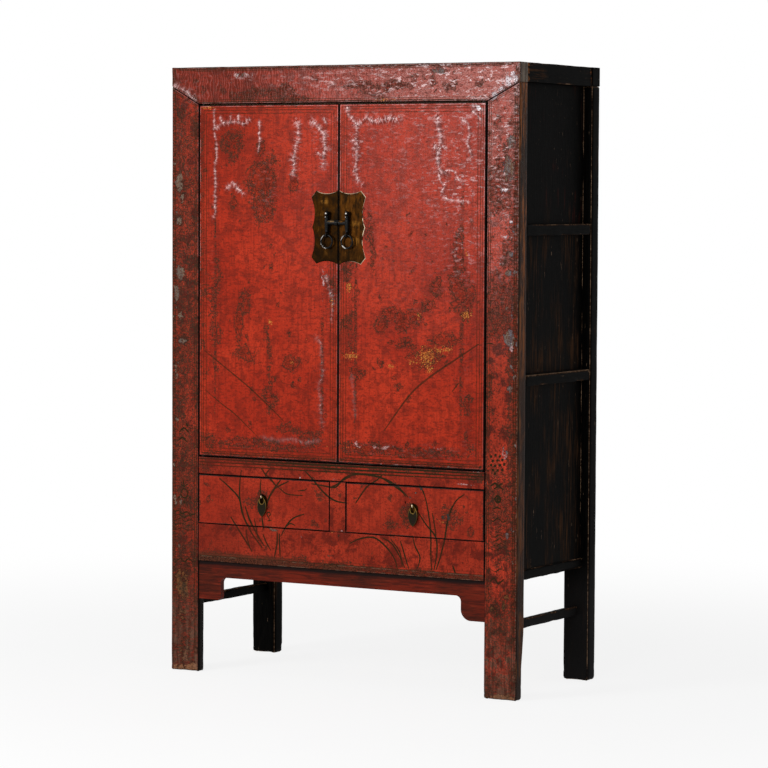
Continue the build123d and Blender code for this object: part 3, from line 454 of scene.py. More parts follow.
    bare: tuple[Blot, ...] = blots(
        (-245, 652, 230, 3, 0.5, 8), (238, 652, 230, 3, 0.55, 8), (-543, 262, 27, 56, 0.85, 4),
        (-548, 165, 22, 46, 0.75), (-525, 320, 12, 20, 0.6), (-520, 90, 26, 60, 0.55),
        (560, 110, 16, 90, 0.5), (500, 60, 14, 30, 0.5), (504, 262, 12, 16), (540, 268, 9, 16),
        (552, 292, 12, 18, 0.8), (-560, 1460, 16, 44), (-548, 1415, 12, 22, 0.9),
        (-560, 1345, 20, 22), (-552, 1190, 22, 30), (-570, 1130, 14, 40), (-552, 1060, 14, 20, 0.9),
        (-545, 990, 22, 18, 0.9), (-568, 905, 12, 40, 0.7), (-550, 800, 12, 16, 0.6),
        (560, 1575, 20, 30, 0.9), (556, 1500, 22, 44), (558, 1265, 13, 12, 1.1),
        (556, 1210, 13, 11, 1.1), (566, 1120, 10, 60, 0.7), (545, 1110, 10, 14, 0.7),
        (556, 1025, 20, 30, 1.2), (556, 880, 12, 30, 0.7), (568, 940, 10, 22, 0.8),
        (-335, 1772, 52, 14, 0.55), (-300, 1755, 30, 10, 0.4), (330, 1775, 70, 14, 0.8),
        (-545, 60, 40, 60, 0.7), (-510, 12, 20, 16), (545, 4, 30, 10, 0.9), (-20, 350, 22, 10, 0.8),
        (375, 512, 62, 36, 0.4), (-20, 374, 36, 4, 0.7), (276, 586, 8, 5, 0.75),
        (258, 576, 9, 5, 0.75), (240, 564, 8, 6, 0.75), (226, 550, 5, 9, 0.75),
        (220, 532, 4, 12, 0.75), (570, 500, 8, 60, 0.5), (566, 380, 10, 60, 0.5),
        (-230, 446, 40, 5, 0.9),
        *scattered(11, 30, (-584, -548), (330, 1520), (3.5, 10), (0.65, 1.0)),
        *scattered(12, 26, (550, 583), (330, 1600), (3, 8), (0.65, 1.0)))
    blades: tuple[Blade, ...] = strokes(
        (3.4, -412, 583, -374, 556, -343, 526, -331, 482, -300, 428, -262, 385),
        (3.0, -336, 611, -341, 572, -340, 524, -325, 470, -303, 440),
        (3.4, -372, 470, -342, 430, -317, 398, -298, 372),
        (3.6, -322, 504, -304, 462, -276, 418, -256, 392), (2.6, -319, 436, -315, 410, -303, 380),
        (3.4, -263, 476, -258, 442), (2.8, -260, 426, -248, 402, -233, 380),
        (2.4, -290, 470, -283, 440, -276, 405), (3.2, -210, 434, -211, 400, -220, 360),
        (3.2, -203, 430, -202, 398, -200, 362), (2.8, -196, 426, -178, 456, -154, 479, -118, 493),
        (2.2, -184, 448, -166, 462, -148, 458), (3.4, -266, 620, -252, 603, -230, 586, -214, 570),
        (2.6, -238, 618, -250, 604, -252, 592), (3.8, -200, 588, -222, 560, -240, 532, -252, 498),
        (2.6, -172, 586, -206, 570, -229, 555), (2.0, -208, 568, -176, 549, -123, 547),
        (1.8, -140, 560, -120, 562, -108, 568), (2.2, -267, 588, -269, 562, -268, 540),
        (3.2, -114, 618, -92, 599, -46, 556, -10, 537, 28, 533),
        (2.8, -92, 583, -50, 579, -12, 577, 12, 597, 40, 610),
        (3.2, -32, 574, -4, 587, 24, 608, 60, 618, 112, 617, 160, 607, 200, 588, 232, 561),
        (3.0, 57, 534, 94, 582, 127, 604, 144, 618), (2.8, 132, 617, 170, 599, 208, 578, 224, 562),
        (3.0, 38, 416, 74, 432, 121, 437, 162, 411, 188, 380, 198, 352),
        (2.8, 150, 438, 178, 424, 203, 392, 222, 357), (2.6, 208, 432, 222, 392, 236, 354),
        (2.2, 176, 436, 206, 400, 214, 358), (2.6, 247, 450, 257, 419, 272, 391, 266, 360),
        (2.8, 283, 580, 296, 536, 307, 468, 308, 398, 311, 355),
        (3.0, 267, 517, 293, 484, 323, 452, 328, 408, 319, 358),
        (3.0, 416, 578, 388, 556, 365, 510, 353, 446, 338, 392, 326, 358),
        (2.4, 312, 519, 323, 468, 324, 444), (2.2, 268, 600, 278, 586, 284, 572),
        (3.2, 380, 372, 388, 352), (1.8, -243, 478, -234, 484, -238, 492, -246, 486, -236, 470),
        (1.8, -244, 466, -230, 468), (2.6, -468, 963, -395, 915, -307, 856, -237, 802, -190, 764),
        (2.2, -464, 845, -405, 805, -355, 774, -278, 712),
        (3.4, 459, 1006, 383, 959, 302, 908, 236, 854, 152, 749), (2.2, 395, 893, 374, 868),
        (2.0, 486, 1010, 512, 1006), (3.0, -486, 640, -200, 639, 100, 640, 479, 639),
        (2.7, -486, 630, -220, 631, 60, 630, 479, 631),
        (2.0, -486, 621, -150, 621, 180, 621, 479, 622), (2.4, -542, 577, -540, 553),
        (1.8, -553, 561, -540, 553, -528, 560),
        (2.6, -548, 541, -538, 546, -528, 540, -526, 528, -533, 520, -543, 520, -550, 528, -548,
         541), (2.8, -562, 516, -553, 524), (2.8, -514, 516, -522, 524),
        (4.0, -541, 509, -537, 503),
        (2.2, -574, 474, -560, 480, -546, 471, -530, 477, -514, 470, -498, 474),
        (1.8, -574, 463, -556, 468, -541, 460, -524, 466, -502, 461),
        (1.8, -570, 451, -552, 456, -536, 448, -516, 454, -500, 449),
        (1.6, -572, 438, -548, 443, -530, 436, -506, 441),
        (1.6, -570, 424, -546, 428, -524, 421, -504, 426),
        (2.2, -572, 322, -552, 336, -538, 326, -522, 338, -508, 328, -496, 332),
        (3.0, -560, 690, -545, 699, -530, 688), (3.0, -556, 716, -540, 728, -524, 717),
        (4.0, -532, 742, -526, 734), (3.6, 502, 607, 514, 614, 528, 606, 540, 598),
        (3.0, 512, 598, 523, 606, 538, 616),
        (3.2, 512, 570, 523, 580, 533, 570, 523, 560, 512, 570), (3.0, 523, 576, 523, 564),
        (3.0, 517, 570, 529, 570), (2.4, 508, 541, 523, 546, 538, 540),
        (2.2, 496, 515, 510, 507, 524, 516, 540, 506, 554, 512),
        (1.8, 498, 470, 515, 462, 530, 470, 548, 462),
        (1.8, 498, 457, 514, 450, 531, 458, 550, 450),
        (1.8, 500, 444, 518, 437, 534, 445, 552, 438),
        (1.6, 498, 430, 516, 424, 534, 431, 552, 425),
        (2.8, 500, 334, 513, 345, 527, 331, 545, 344),
        (1.8, 498, 372, 516, 364, 534, 372, 550, 366), (1.8, 522, 236, 522, 250, 514, 262),
        *((5.5, x, z, x + 3, z + 3) for x, z in pairs(( 500, 688, 514, 693, 528, 690, 505, 676, 520,
         678, 536, 680, 500, 664, 513, 662, 528, 665, 542, 668, 506, 650, 521, 650, 536, 652, 512,
         640))))

    def lift(self, points: np.ndarray) -> tuple[np.ndarray, np.ndarray]:
        """The patches of lacquer that stand off the wood, crumpled.

        Args:
            points: places near the front, in millimetres.

        Returns:
            The heights in millimetres, and how lifted each place is.
        """
        amount = self.cover(self.lifted, points[:, 0], points[:, 2])
        crumple = np.clip(0.5 + 0.9 * cloud(points, 12, 71, 3), 0, 1.5)
        return 2.6 * np.clip(amount, 0, 1) * crumple, np.clip(amount * (0.4 + 0.6 * crumple), 0, 1)

    def wrinkle_height(self, x: np.ndarray, y: np.ndarray, z: np.ndarray) -> dict[str, np.ndarray]:
        """How far the raised folds stand out.

        Args:
            x, y, z: points near the front, in millimetres.

        Returns:
            "height" in millimetres, "crest", how much of a crest each point is, "pleat", how near
            a fold it is, "along", its place in millimetres along the nearest fold, and "lee",
            the painted shadow beside one, to its lower right.
        """
        points = np.stack([x, y, z], axis=1)
        shift_x = x + 3.2 * cloud(points, 16, 5, 2)
        shift_z = z + 3.2 * cloud(points, 16, 6, 2)
        beads = 0.65 + 0.5 * cloud(points, 9, 7, 2)
        height = np.zeros(len(x))
        crest = np.zeros(len(x))
        pleat = np.zeros(len(x))
        lee = np.zeros(len(x))
        along = np.zeros(len(x))
        nearest = np.full(len(x), 1e3)
        for wrinkle in self.wrinkles:
            away, gone = course_distance(shift_x, shift_z, wrinkle.course, 30)
            taper = smooth(gone, -0.02, 0.08) * (1 - smooth(gone, 0.9, 1.02))
            rise = np.exp(-(away / wrinkle.width) ** 2) * (0.35 + 0.65 * taper)
            skirt = 0.25 * np.exp(-(away / (3.2 * wrinkle.width)) ** 2)
            height += 1.3 * wrinkle.height * np.clip(beads, 0.15, 1.3) * (rise + skirt)
            crest = np.maximum(crest, rise * np.clip(beads, 0, 1.2))
            share = min(wrinkle.height / 2, 1.2)
            # a painted shadow beside each fold, to its lower right
            beside, _ = course_distance(shift_x - 5.5, shift_z + 4, wrinkle.course, 30)
            hollow_shade = share * np.exp(-(beside / (1.3 * wrinkle.width)) ** 2)
            lee = np.maximum(lee, hollow_shade * np.clip(beads, 0.3, 1.2))
            pleat = np.maximum(pleat, share * np.exp(-(away / (2.0 * wrinkle.width)) ** 2))
            runs = np.diff(np.array(wrinkle.course, float), axis=0)
            length = float(np.sum(np.linalg.norm(runs, axis=1)))
            closer = away < nearest
            nearest[closer] = away[closer]
            along[closer] = gone[closer] * length
        return {"height": height, "crest": np.clip(crest, 0, 1), "pleat": pleat, "along": along,
                "lee": np.clip(lee - crest, 0, 1)}

    def cover(self, blots: tuple[Blot, ...], x: np.ndarray, z: np.ndarray) -> np.ndarray:
        """The strongest of some patches at each point.

        Args:
            blots: the patches.
            x: the points' places across the front.
            z: the points' heights.

        Returns:
            0 for nothing, up to the strongest patch's strength.
        """
        total = np.zeros(len(x))
        for blot in blots:
            total = np.maximum(total, blot.cover(x, z))
        return total

    def ripple(self, x: np.ndarray, y: np.ndarray, z: np.ndarray) -> tuple[np.ndarray, np.ndarray]:
        """The small close folds that cross the lacquer, where it has shrunk.

        Args:
            x, y, z: points near the front, in millimetres.

        Returns:
            The heights in millimetres, and how rippled each place is, whatever its own height.
        """
        points = np.stack([x, y, z], axis=1)
        amount = self.cover(self.rippled, x, z)
        folds = 1 - 2 * np.abs(cloud(points, (13, 20, 8), 11, 2))
        return 0.75 * amount * folds, np.clip(amount, 0, 1.3)

    def ink(self, x: np.ndarray, z: np.ndarray) -> np.ndarray:
        """Millimetres to the edge of the nearest painted stroke, less than 0 inside it.

        Args:
            x: the points' places across the front.
            z: the points' heights.

        Returns:
            The distances, 8 at most.
        """
        nearest = np.full(len(x), 8.0)
        for blade in self.blades:
            away, gone = course_distance(x, z, bent(blade.course), 14)
            swell = 0.35 + 0.65 * np.sin(np.pi * np.clip(0.12 + 0.76 * gone, 0, 1))
            nearest = np.minimum(nearest, away - 0.82 * blade.width * swell)
        return nearest


# ---- Boards --------------------
class Way(Enum):
    """The axis that a board runs along."""

    ACROSS = 0
    BACK = 1
    UP = 2


@dataclass
class Surface:
    """A mesh on its way: points and normals in millimetres, faces, and values at the points."""

    points: np.ndarray
    normals: np.ndarray
    faces: list[tuple[int, ...]]
    values: dict[str, np.ndarray] = field(default_factory=dict)

    def mesh(self, name: str) -> bpy.types.Object:
        """Makes the mesh object.

        Args:
            name: the object's name.

        Returns:
            The new object, linked to the scene.
        """
        data = bpy.data.meshes.new(name)
        data.from_pydata((self.points * MM).tolist(), [], self.faces)
        data.polygons.foreach_set("use_smooth", [len(face) == 4 for face in self.faces])
        for label, value in self.values.items():
            kind = "FLOAT_COLOR" if value.ndim == 2 else "FLOAT"
            layer = data.attributes.new(label, kind, "POINT")
            layer.data.foreach_set("color" if value.ndim == 2 else "value",
                                   value.astype(np.float32).ravel())
        data.update()
        made = bpy.data.objects.new(name, data)
        bpy.context.scene.collection.objects.link(made)
        return made


@dataclass
class Board:
    """A board swept along one axis, with its arrises and ends rounded and its faces divided."""

    low: Point3
    high: Point3
    way: Way
    step: float = 8.0
    rounding: float = 2.0
    fine: dict[str, float] = field(default_factory=dict)
    coarse: float = 40.0
    warp: Callable[[np.ndarray], np.ndarray] | None = None

    def _side(self, start: float, end: float, spacing: float) -> np.ndarray:
        """Even steps between two ends, both given."""
        return np.linspace(start, end, max(2, int(round(abs(end - start) / spacing)) + 1))

    def _section(self) -> tuple[np.ndarray, np.ndarray]:
        """The outline across the board.

        Returns:
            Points and outward normals, two columns each, for the two axes across the board.
        """
        first, second = self._across()
        low = (self.low[first], self.low[second])
        high = (self.high[first], self.high[second])
        r = self.rounding
        p, q = "xyz"[first], "xyz"[second]
        spacing = [self.fine.get(face, self.coarse)
                   for face in ("-" + q, "+" + p, "+" + q, "-" + p)]
        points: list[Point2] = []
        normals: list[Point2] = []
        near, far = (low[0] + r, low[1] + r), (high[0] - r, high[1] - r)
        corners = ((far[0], near[1]), far, (near[0], far[1]), near)
        sides = ([(p, low[1]) for p in self._side(near[0], far[0], spacing[0])],
                 [(high[0], q) for q in self._side(near[1], far[1], spacing[1])],
                 [(p, high[1]) for p in self._side(far[0], near[0], spacing[2])],
                 [(low[0], q) for q in self._side(far[1], near[1], spacing[3])])
        facing = ((0, -1), (1, 0), (0, 1), (-1, 0))
        for number, (side, normal, corner) in enumerate(zip(sides, facing, corners)):
            points += side
            normals += [normal] * len(side)
            for share in (1 / 3, 2 / 3):
                turn = math.radians(-90 + 90 * number + 90 * share)
                direction = (math.cos(turn), math.sin(turn))
                points.append((corner[0] + r * direction[0], corner[1] + r * direction[1]))
                normals.append(direction)
        return np.array(points), np.array(normals, float)

    def _across(self) -> tuple[int, int]:
        """The two axes across the board."""
        return {Way.UP: (0, 1), Way.ACROSS: (1, 2), Way.BACK: (0, 2)}[self.way]

    def surface(self) -> Surface:
        """Sweeps the section along the board.

        Returns:
            The surface, with "edge", each point's distance to its face's border, and "end",
            which is 1 on the ends.
        """
        first, second = self._across()
        along = self.way.value
        section, facing = self._section()
        r = self.rounding
        start, end = self.low[along], self.high[along]
        middle = self._side(start + r, end - r, self.step)
        stations = np.concatenate([[start, start + 0.3 * r], middle, [end - 0.3 * r, end]])
        depth = np.clip(r - np.minimum(stations - start, end - stations), 0, r)
        inset = r - np.sqrt(np.maximum(r * r - depth * depth, 0))
        count = len(section)
        rings = len(stations)
        points = np.zeros((rings, count, 3))
        normals = np.zeros((rings, count, 3))
        points[:, :, along] = stations[:, None]
        for column, axis in enumerate((first, second)):
            points[:, :, axis] = section[None, :, column] - inset[:, None] * facing[None, :, column]
            normals[:, :, axis] = facing[None, :, column]
        points = points.reshape(-1, 3)
        normals = normals.reshape(-1, 3)
        to_border = [np.minimum(points[:, axis] - self.low[axis], self.high[axis] - points[:, axis])
                     for axis in range(3)]
        edge = np.minimum(np.maximum(to_border[first], to_border[second]), to_border[along])
        faces = ring_faces(rings, count)
        if self.way is Way.BACK:
            faces = [face[::-1] for face in faces]
        if self.warp:
            points = self.warp(points)
        is_end = np.zeros(len(points))
        is_end[:count] = is_end[-count:] = 1
        return Surface(points, normals, faces, {"edge": edge, "end": is_end})


@dataclass
class Weather:
    """What age does to a board: dents, rubbed arrises, how bare they shine, and chipped ends."""

    seed: int
    dents: float = 0.25
    rubbed: float = 1.2
    chipped: float = 0.0
    shine: float = 0.45
    chip_height: float = 60.0
    reach: float = 5.0
    crown: float = 0.0

    def apply(self, surface: Surface) -> None:
        """Moves a surface's points inwards along their normals.

        Args:
            surface: the surface, changed in place. It gains "rub", how rubbed each point is.
        """
        points, edge = surface.points, surface.values["edge"]
        near = 1 - smooth(edge, 0.0, self.reach)
        top = points[:, 2].max()
        # crown adds rub along the top arris, which the dark finish paints pale: partly wear, partly
        # a painted highlight
        shine = self.shine + self.crown * smooth(points[:, 2], top - 12, top - 6)
        rub = np.clip(shine + 0.8 * cloud(points, 46, self.seed, 3), 0, 1.5) * near
        dent = np.clip(0.5 + cloud(points, 70, self.seed + 3, 3), 0, 2)
        depth = self.rubbed * rub + self.dents * dent
        if self.chipped:
            low = 1 - smooth(points[:, 2], 0, self.chip_height)
            chip = np.clip(0.3 + cloud(points, 18, self.seed + 9, 3), 0, 1.4)
            depth += self.chipped * low * near * chip
        surface.points = points - surface.normals * depth[:, None]
        surface.values["rub"] = rub


@dataclass
class FrontFace:
    """The lacquer on a front board: its relief and the marks that its finish reads.

    A door's relief is low where the open door passes the post's arris, so far from the meeting.
    """

    front: Front
    passing: float = 0.0

    def apply(self, surface: Surface) -> None:
        """Raises the lacquer's folds on the front and notes its marks.

        Args:
            surface: the surface, changed in place. It gains "marks" (worn, gilt, crest and bare),
            "peel", "lee" (a painted shadow beside the folds), "pleat", "along", "ripple",
            "ink" and "front".
        """
        points = surface.points
        x, y, z = points.T
        facing = smooth(-surface.normals[:, 1], 0.35, 0.75)
        fold = self.front.wrinkle_height(x, y, z)
        ripples, rippled = self.front.ripple(x, y, z)
        raised, lifted = self.front.lift(points)
        torn_x = x + 13 * cloud(points, 44, 61, 3)
        torn_z = z + 13 * cloud(points, 44, 62, 3)
        worn = self.front.cover(self.front.worn, torn_x, torn_z)
        worn = np.maximum(worn, self.front.cover(self.front.rubbed, x, z))
        gilt = self.front.cover(self.front.gilt, x, z)
        bare = self.front.cover(self.front.bare, 0.5 * (x + torn_x), 0.5 * (z + torn_z))
        flaked = smooth(bare + 0.35 * cloud(points, 14, 23, 3), 0.55, 0.75)
        inside = smooth(surface.values["edge"], 0.5, 6)
        if self.passing:
            beside = np.abs(np.abs(x - LAYOUT.meeting) - self.passing)
            inside = inside * (0.1 + 0.9 * smooth(beside, 3, 12))
        height = (fold["height"] + ripples + raised) * inside - 0.5 * flaked
        surface.points = points + surface.normals * (height * facing)[:, None]
        marks = np.stack([worn, gilt, fold["crest"], bare], axis=1)
        surface.values["peel"] = lifted * facing
        # the painted shadow beside the folds
        surface.values["lee"] = fold["lee"] * facing
        surface.values["marks"] = marks * facing[:, None]
        surface.values["pleat"] = fold["pleat"] * facing
        surface.values["along"] = fold["along"]
        surface.values["ripple"] = rippled * facing
        surface.values["ink"] = self.front.ink(x, z)
        surface.values["front"] = facing


# ---- Shader maths --------------------
class Field:
    """A number, colour or vector that changes over a surface, with the arithmetic of numbers."""

    def __init__(self, recipe: "Recipe", socket: bpy.types.NodeSocket) -> None:
        """Wraps a node's output socket."""
        self.recipe = recipe
        self.socket = socket

    def _math(self, operation: str, *values: "Field | float", clamped: bool = False) -> "Field":
        """Adds a Math node."""
        settings = {"operation": operation, "use_clamp": clamped}
        return self.recipe.node("ShaderNodeMath", settings, dict(enumerate(values)))

    def __add__(self, other: "Field | float") -> "Field":
        """Self plus other."""
        return self._math("ADD", self, other)

    __radd__ = __add__

    def __sub__(self, other: "Field | float") -> "Field":
        """Self less other."""
        return self._math("SUBTRACT", self, other)

    def __rsub__(self, other: float) -> "Field":
        """Other less self."""
        return self._math("SUBTRACT", other, self)

    def __mul__(self, other: "Field | float") -> "Field":
        """Self times other."""
        return self._math("MULTIPLY", self, other)

    __rmul__ = __mul__

    def __truediv__(self, other: "Field | float") -> "Field":
        """Self divided by other."""
        return self._math("DIVIDE", self, other)

    def __pow__(self, other: float) -> "Field":
        """Self to a power."""
        return self._math("POWER", self, other)

    def __abs__(self) -> "Field":
        """The distance from nought."""
        return self._math("ABSOLUTE", self)

    def clamp(self) -> "Field":
        """Kept from 0 to 1."""
        return self._math("ADD", self, 0.0, clamped=True)

    def least(self, other: "Field | float") -> "Field":
        """The lesser of two."""
        return self._math("MINIMUM", self, other)

    def most(self, other: "Field | float") -> "Field":
        """The greater of two."""
        return self._math("MAXIMUM", self, other)

    def ramp(self, low: float, high: float) -> "Field":
        """Rises smoothly from 0 at low to 1 at high, or falls where low is the higher.

        Args:
            low: the value that gives 0.
            high: the value that gives 1.

        Returns:
            The share from 0 to 1.
        """
        if low > high:
            return 1 - self.ramp(high, low)
        return self.recipe.node("ShaderNodeMapRange", {"interpolation_type": "SMOOTHSTEP"},
                                {0: self, 1: low, 2: high, 3: 0.0, 4: 1.0})

    def band(self, centre: float, half: float, soft: float) -> "Field":
        """One inside a band of values and nought outside, with soft borders."""
        return abs(self - centre).ramp(half + soft, half - soft)


class Recipe:
    """A finish being mixed: one material's nodes."""

    def __init__(self, name: str) -> None:
        """Starts a material with its output and its main shader.

        Args:
            name: the material's name.
        """
        self.material = bpy.data.materials.new(name)
        self.material.use_nodes = True
        self.tree = self.material.node_tree
        self.tree.nodes.clear()
        self.output = self.tree.nodes.new("ShaderNodeOutputMaterial")
        self.shader = self.tree.nodes.new("ShaderNodeBsdfPrincipled")
        self.tree.links.new(self.shader.outputs[0], self.output.inputs[0])
        place = self.node("ShaderNodeTexCoord", {}, {}, "Object")
        self.place = self.vector("SCALE", place, {3: 1000.0})

    def feed(self, socket: bpy.types.NodeSocket, value: object) -> None:
        """Gives a socket a value or a link.

        Args:
            socket: the socket.
            value: a field, which is linked, or a plain value.
        """
        if isinstance(value, Field):
            self.tree.links.new(value.socket, socket)
        else:
            socket.default_value = value

    def node(self, kind: str, settings: dict, inputs: dict, out: int | str = 0) -> Field:
        """Adds a node.

        Args:
            kind: the node's type.
            settings: its properties, set before its sockets.
            inputs: values or fields by socket number or name.
            out: the output that the result reads.

        Returns:
            The chosen output.
        """
        made = self.tree.nodes.new(kind)
        for key, value in settings.items():
            if key == "stops":
                self._stops(made, value)
            else:
                setattr(made, key, value)
        for key, value in inputs.items():
            self.feed(made.inputs[key], value)
        return Field(self, made.outputs[out])

    def _stops(self, ramp: bpy.types.Node, stops: tuple) -> None:
        """Sets a colour ramp's stops.

        Args:
            ramp: the ramp's node.
            stops: each stop's position and colour.
        """
        elements = ramp.color_ramp.elements
        while len(elements) < len(stops):
            elements.new(0.5)
        for element, (position, colour) in zip(elements, stops):
            element.position = position
            element.color = colour

    def vector(self, operation: str, first: object, others: dict) -> Field:
        """Adds a Vector Math node."""
        return self.node("ShaderNodeVectorMath", {"operation": operation}, {0: first, **others})

    def mix(self, share: object, first: object, second: object, blend: str = "MIX") -> Field:
        """Goes from one colour to another."""
        settings = {"data_type": "RGBA", "blend_type": blend, "clamp_factor": True}
        return self.node("ShaderNodeMix", settings, {0: share, 6: first, 7: second}, 2)

    def paint(self, ground: Field, *coats: "tuple[Field | float, Tint | Field]") -> Field:
        """Lays coats over a ground.

        Args:
            ground: the colour below.
            coats: each coat's cover, kept from 0 to 1, and its colour.

        Returns:
            The colour that shows.
        """
        for cover, colour in coats:
            ground = self.mix(cover, ground, colour)
        return ground

    def axis(self, letter: str) -> Field:
        """One coordinate of the place, in millimetres."""
        return self.node("ShaderNodeSeparateXYZ", {}, {0: self.place}, letter)

    def stretched(self, x: float, y: float, z: float) -> Field:
        """The place with each axis scaled."""
        return self.vector("MULTIPLY", self.place, {1: (x, y, z)})

    def noise(self, size: float, detail: float = 2.0, rough: float = 0.5,
              place: Field | None = None, swirl: float = 0.0) -> Field:
        """Noise from 0 to 1 whose largest grain is a size in millimetres.

        Args:
            size: the largest grain.
            detail: how many times finer grains are added.
            rough: how strong the finer grains are.
            place: where it is read, or the point itself.
            swirl: how far the grains are twisted.

        Returns:
            The noise.
        """
        return self.node("ShaderNodeTexNoise", {"normalize": True},
                         {"Vector": place or self.place, "Scale": 1 / size, "Detail": detail,
                          "Roughness": rough, "Distortion": swirl})

    def cells(self, size: float, place: Field | None = None) -> Field:
        """The distance to the nearest border of a net of cells, in cells."""
        return self.node("ShaderNodeTexVoronoi", {"feature": "DISTANCE_TO_EDGE"},
                         {"Vector": place or self.place, "Scale": 1 / size}, "Distance")

    def mark(self, name: str) -> Field:
        """A value noted on the mesh."""
        return self.node("ShaderNodeAttribute", {"attribute_name": name}, {}, "Fac")

    def marks(self) -> tuple[Field, Field, Field, Field]:
        """The four marks noted on a front board: worn, gilt, crest and bare.

        Returns:
            The marks in that order, each from 0 to 1.
        """
        made = self.node("ShaderNodeAttribute", {"attribute_name": "marks"}, {}, "Color")
        bare = Field(self, made.socket.node.outputs["Alpha"])
        split = self.node("ShaderNodeSeparateColor", {}, {0: made}, 0)
        outputs = split.socket.node.outputs
        return Field(self, outputs[0]), Field(self, outputs[1]), Field(self, outputs[2]), bare

    def bump(self, height: Field, reach: float, strength: float = 1.0) -> Field:
        """A normal from a height, whose 1 stands out by a reach in millimetres."""
        return self.node("ShaderNodeBump", {},
                         {"Strength": strength, "Distance": reach * MM, "Height": height})

    def finish(self, **sockets: object) -> Material:
        """Feeds the main shader's sockets, whose names have _ for a space.

        Args:
            sockets: values or fields by name.

        Returns:
            The finished material.
        """
        for name, value in sockets.items():
            self.feed(self.shader.inputs[name.replace("_", " ")], value)
        return self.material


# ---- Finishes --------------------
class Grain(Enum):
    """How a board's grain runs: the scales that stretch noise along it."""

    X = (0.06, 1, 1)
    Y = (1, 0.06, 1)
    Z = (1, 1, 0.06)
    LEVEL = (0.06, 0.1, 1)


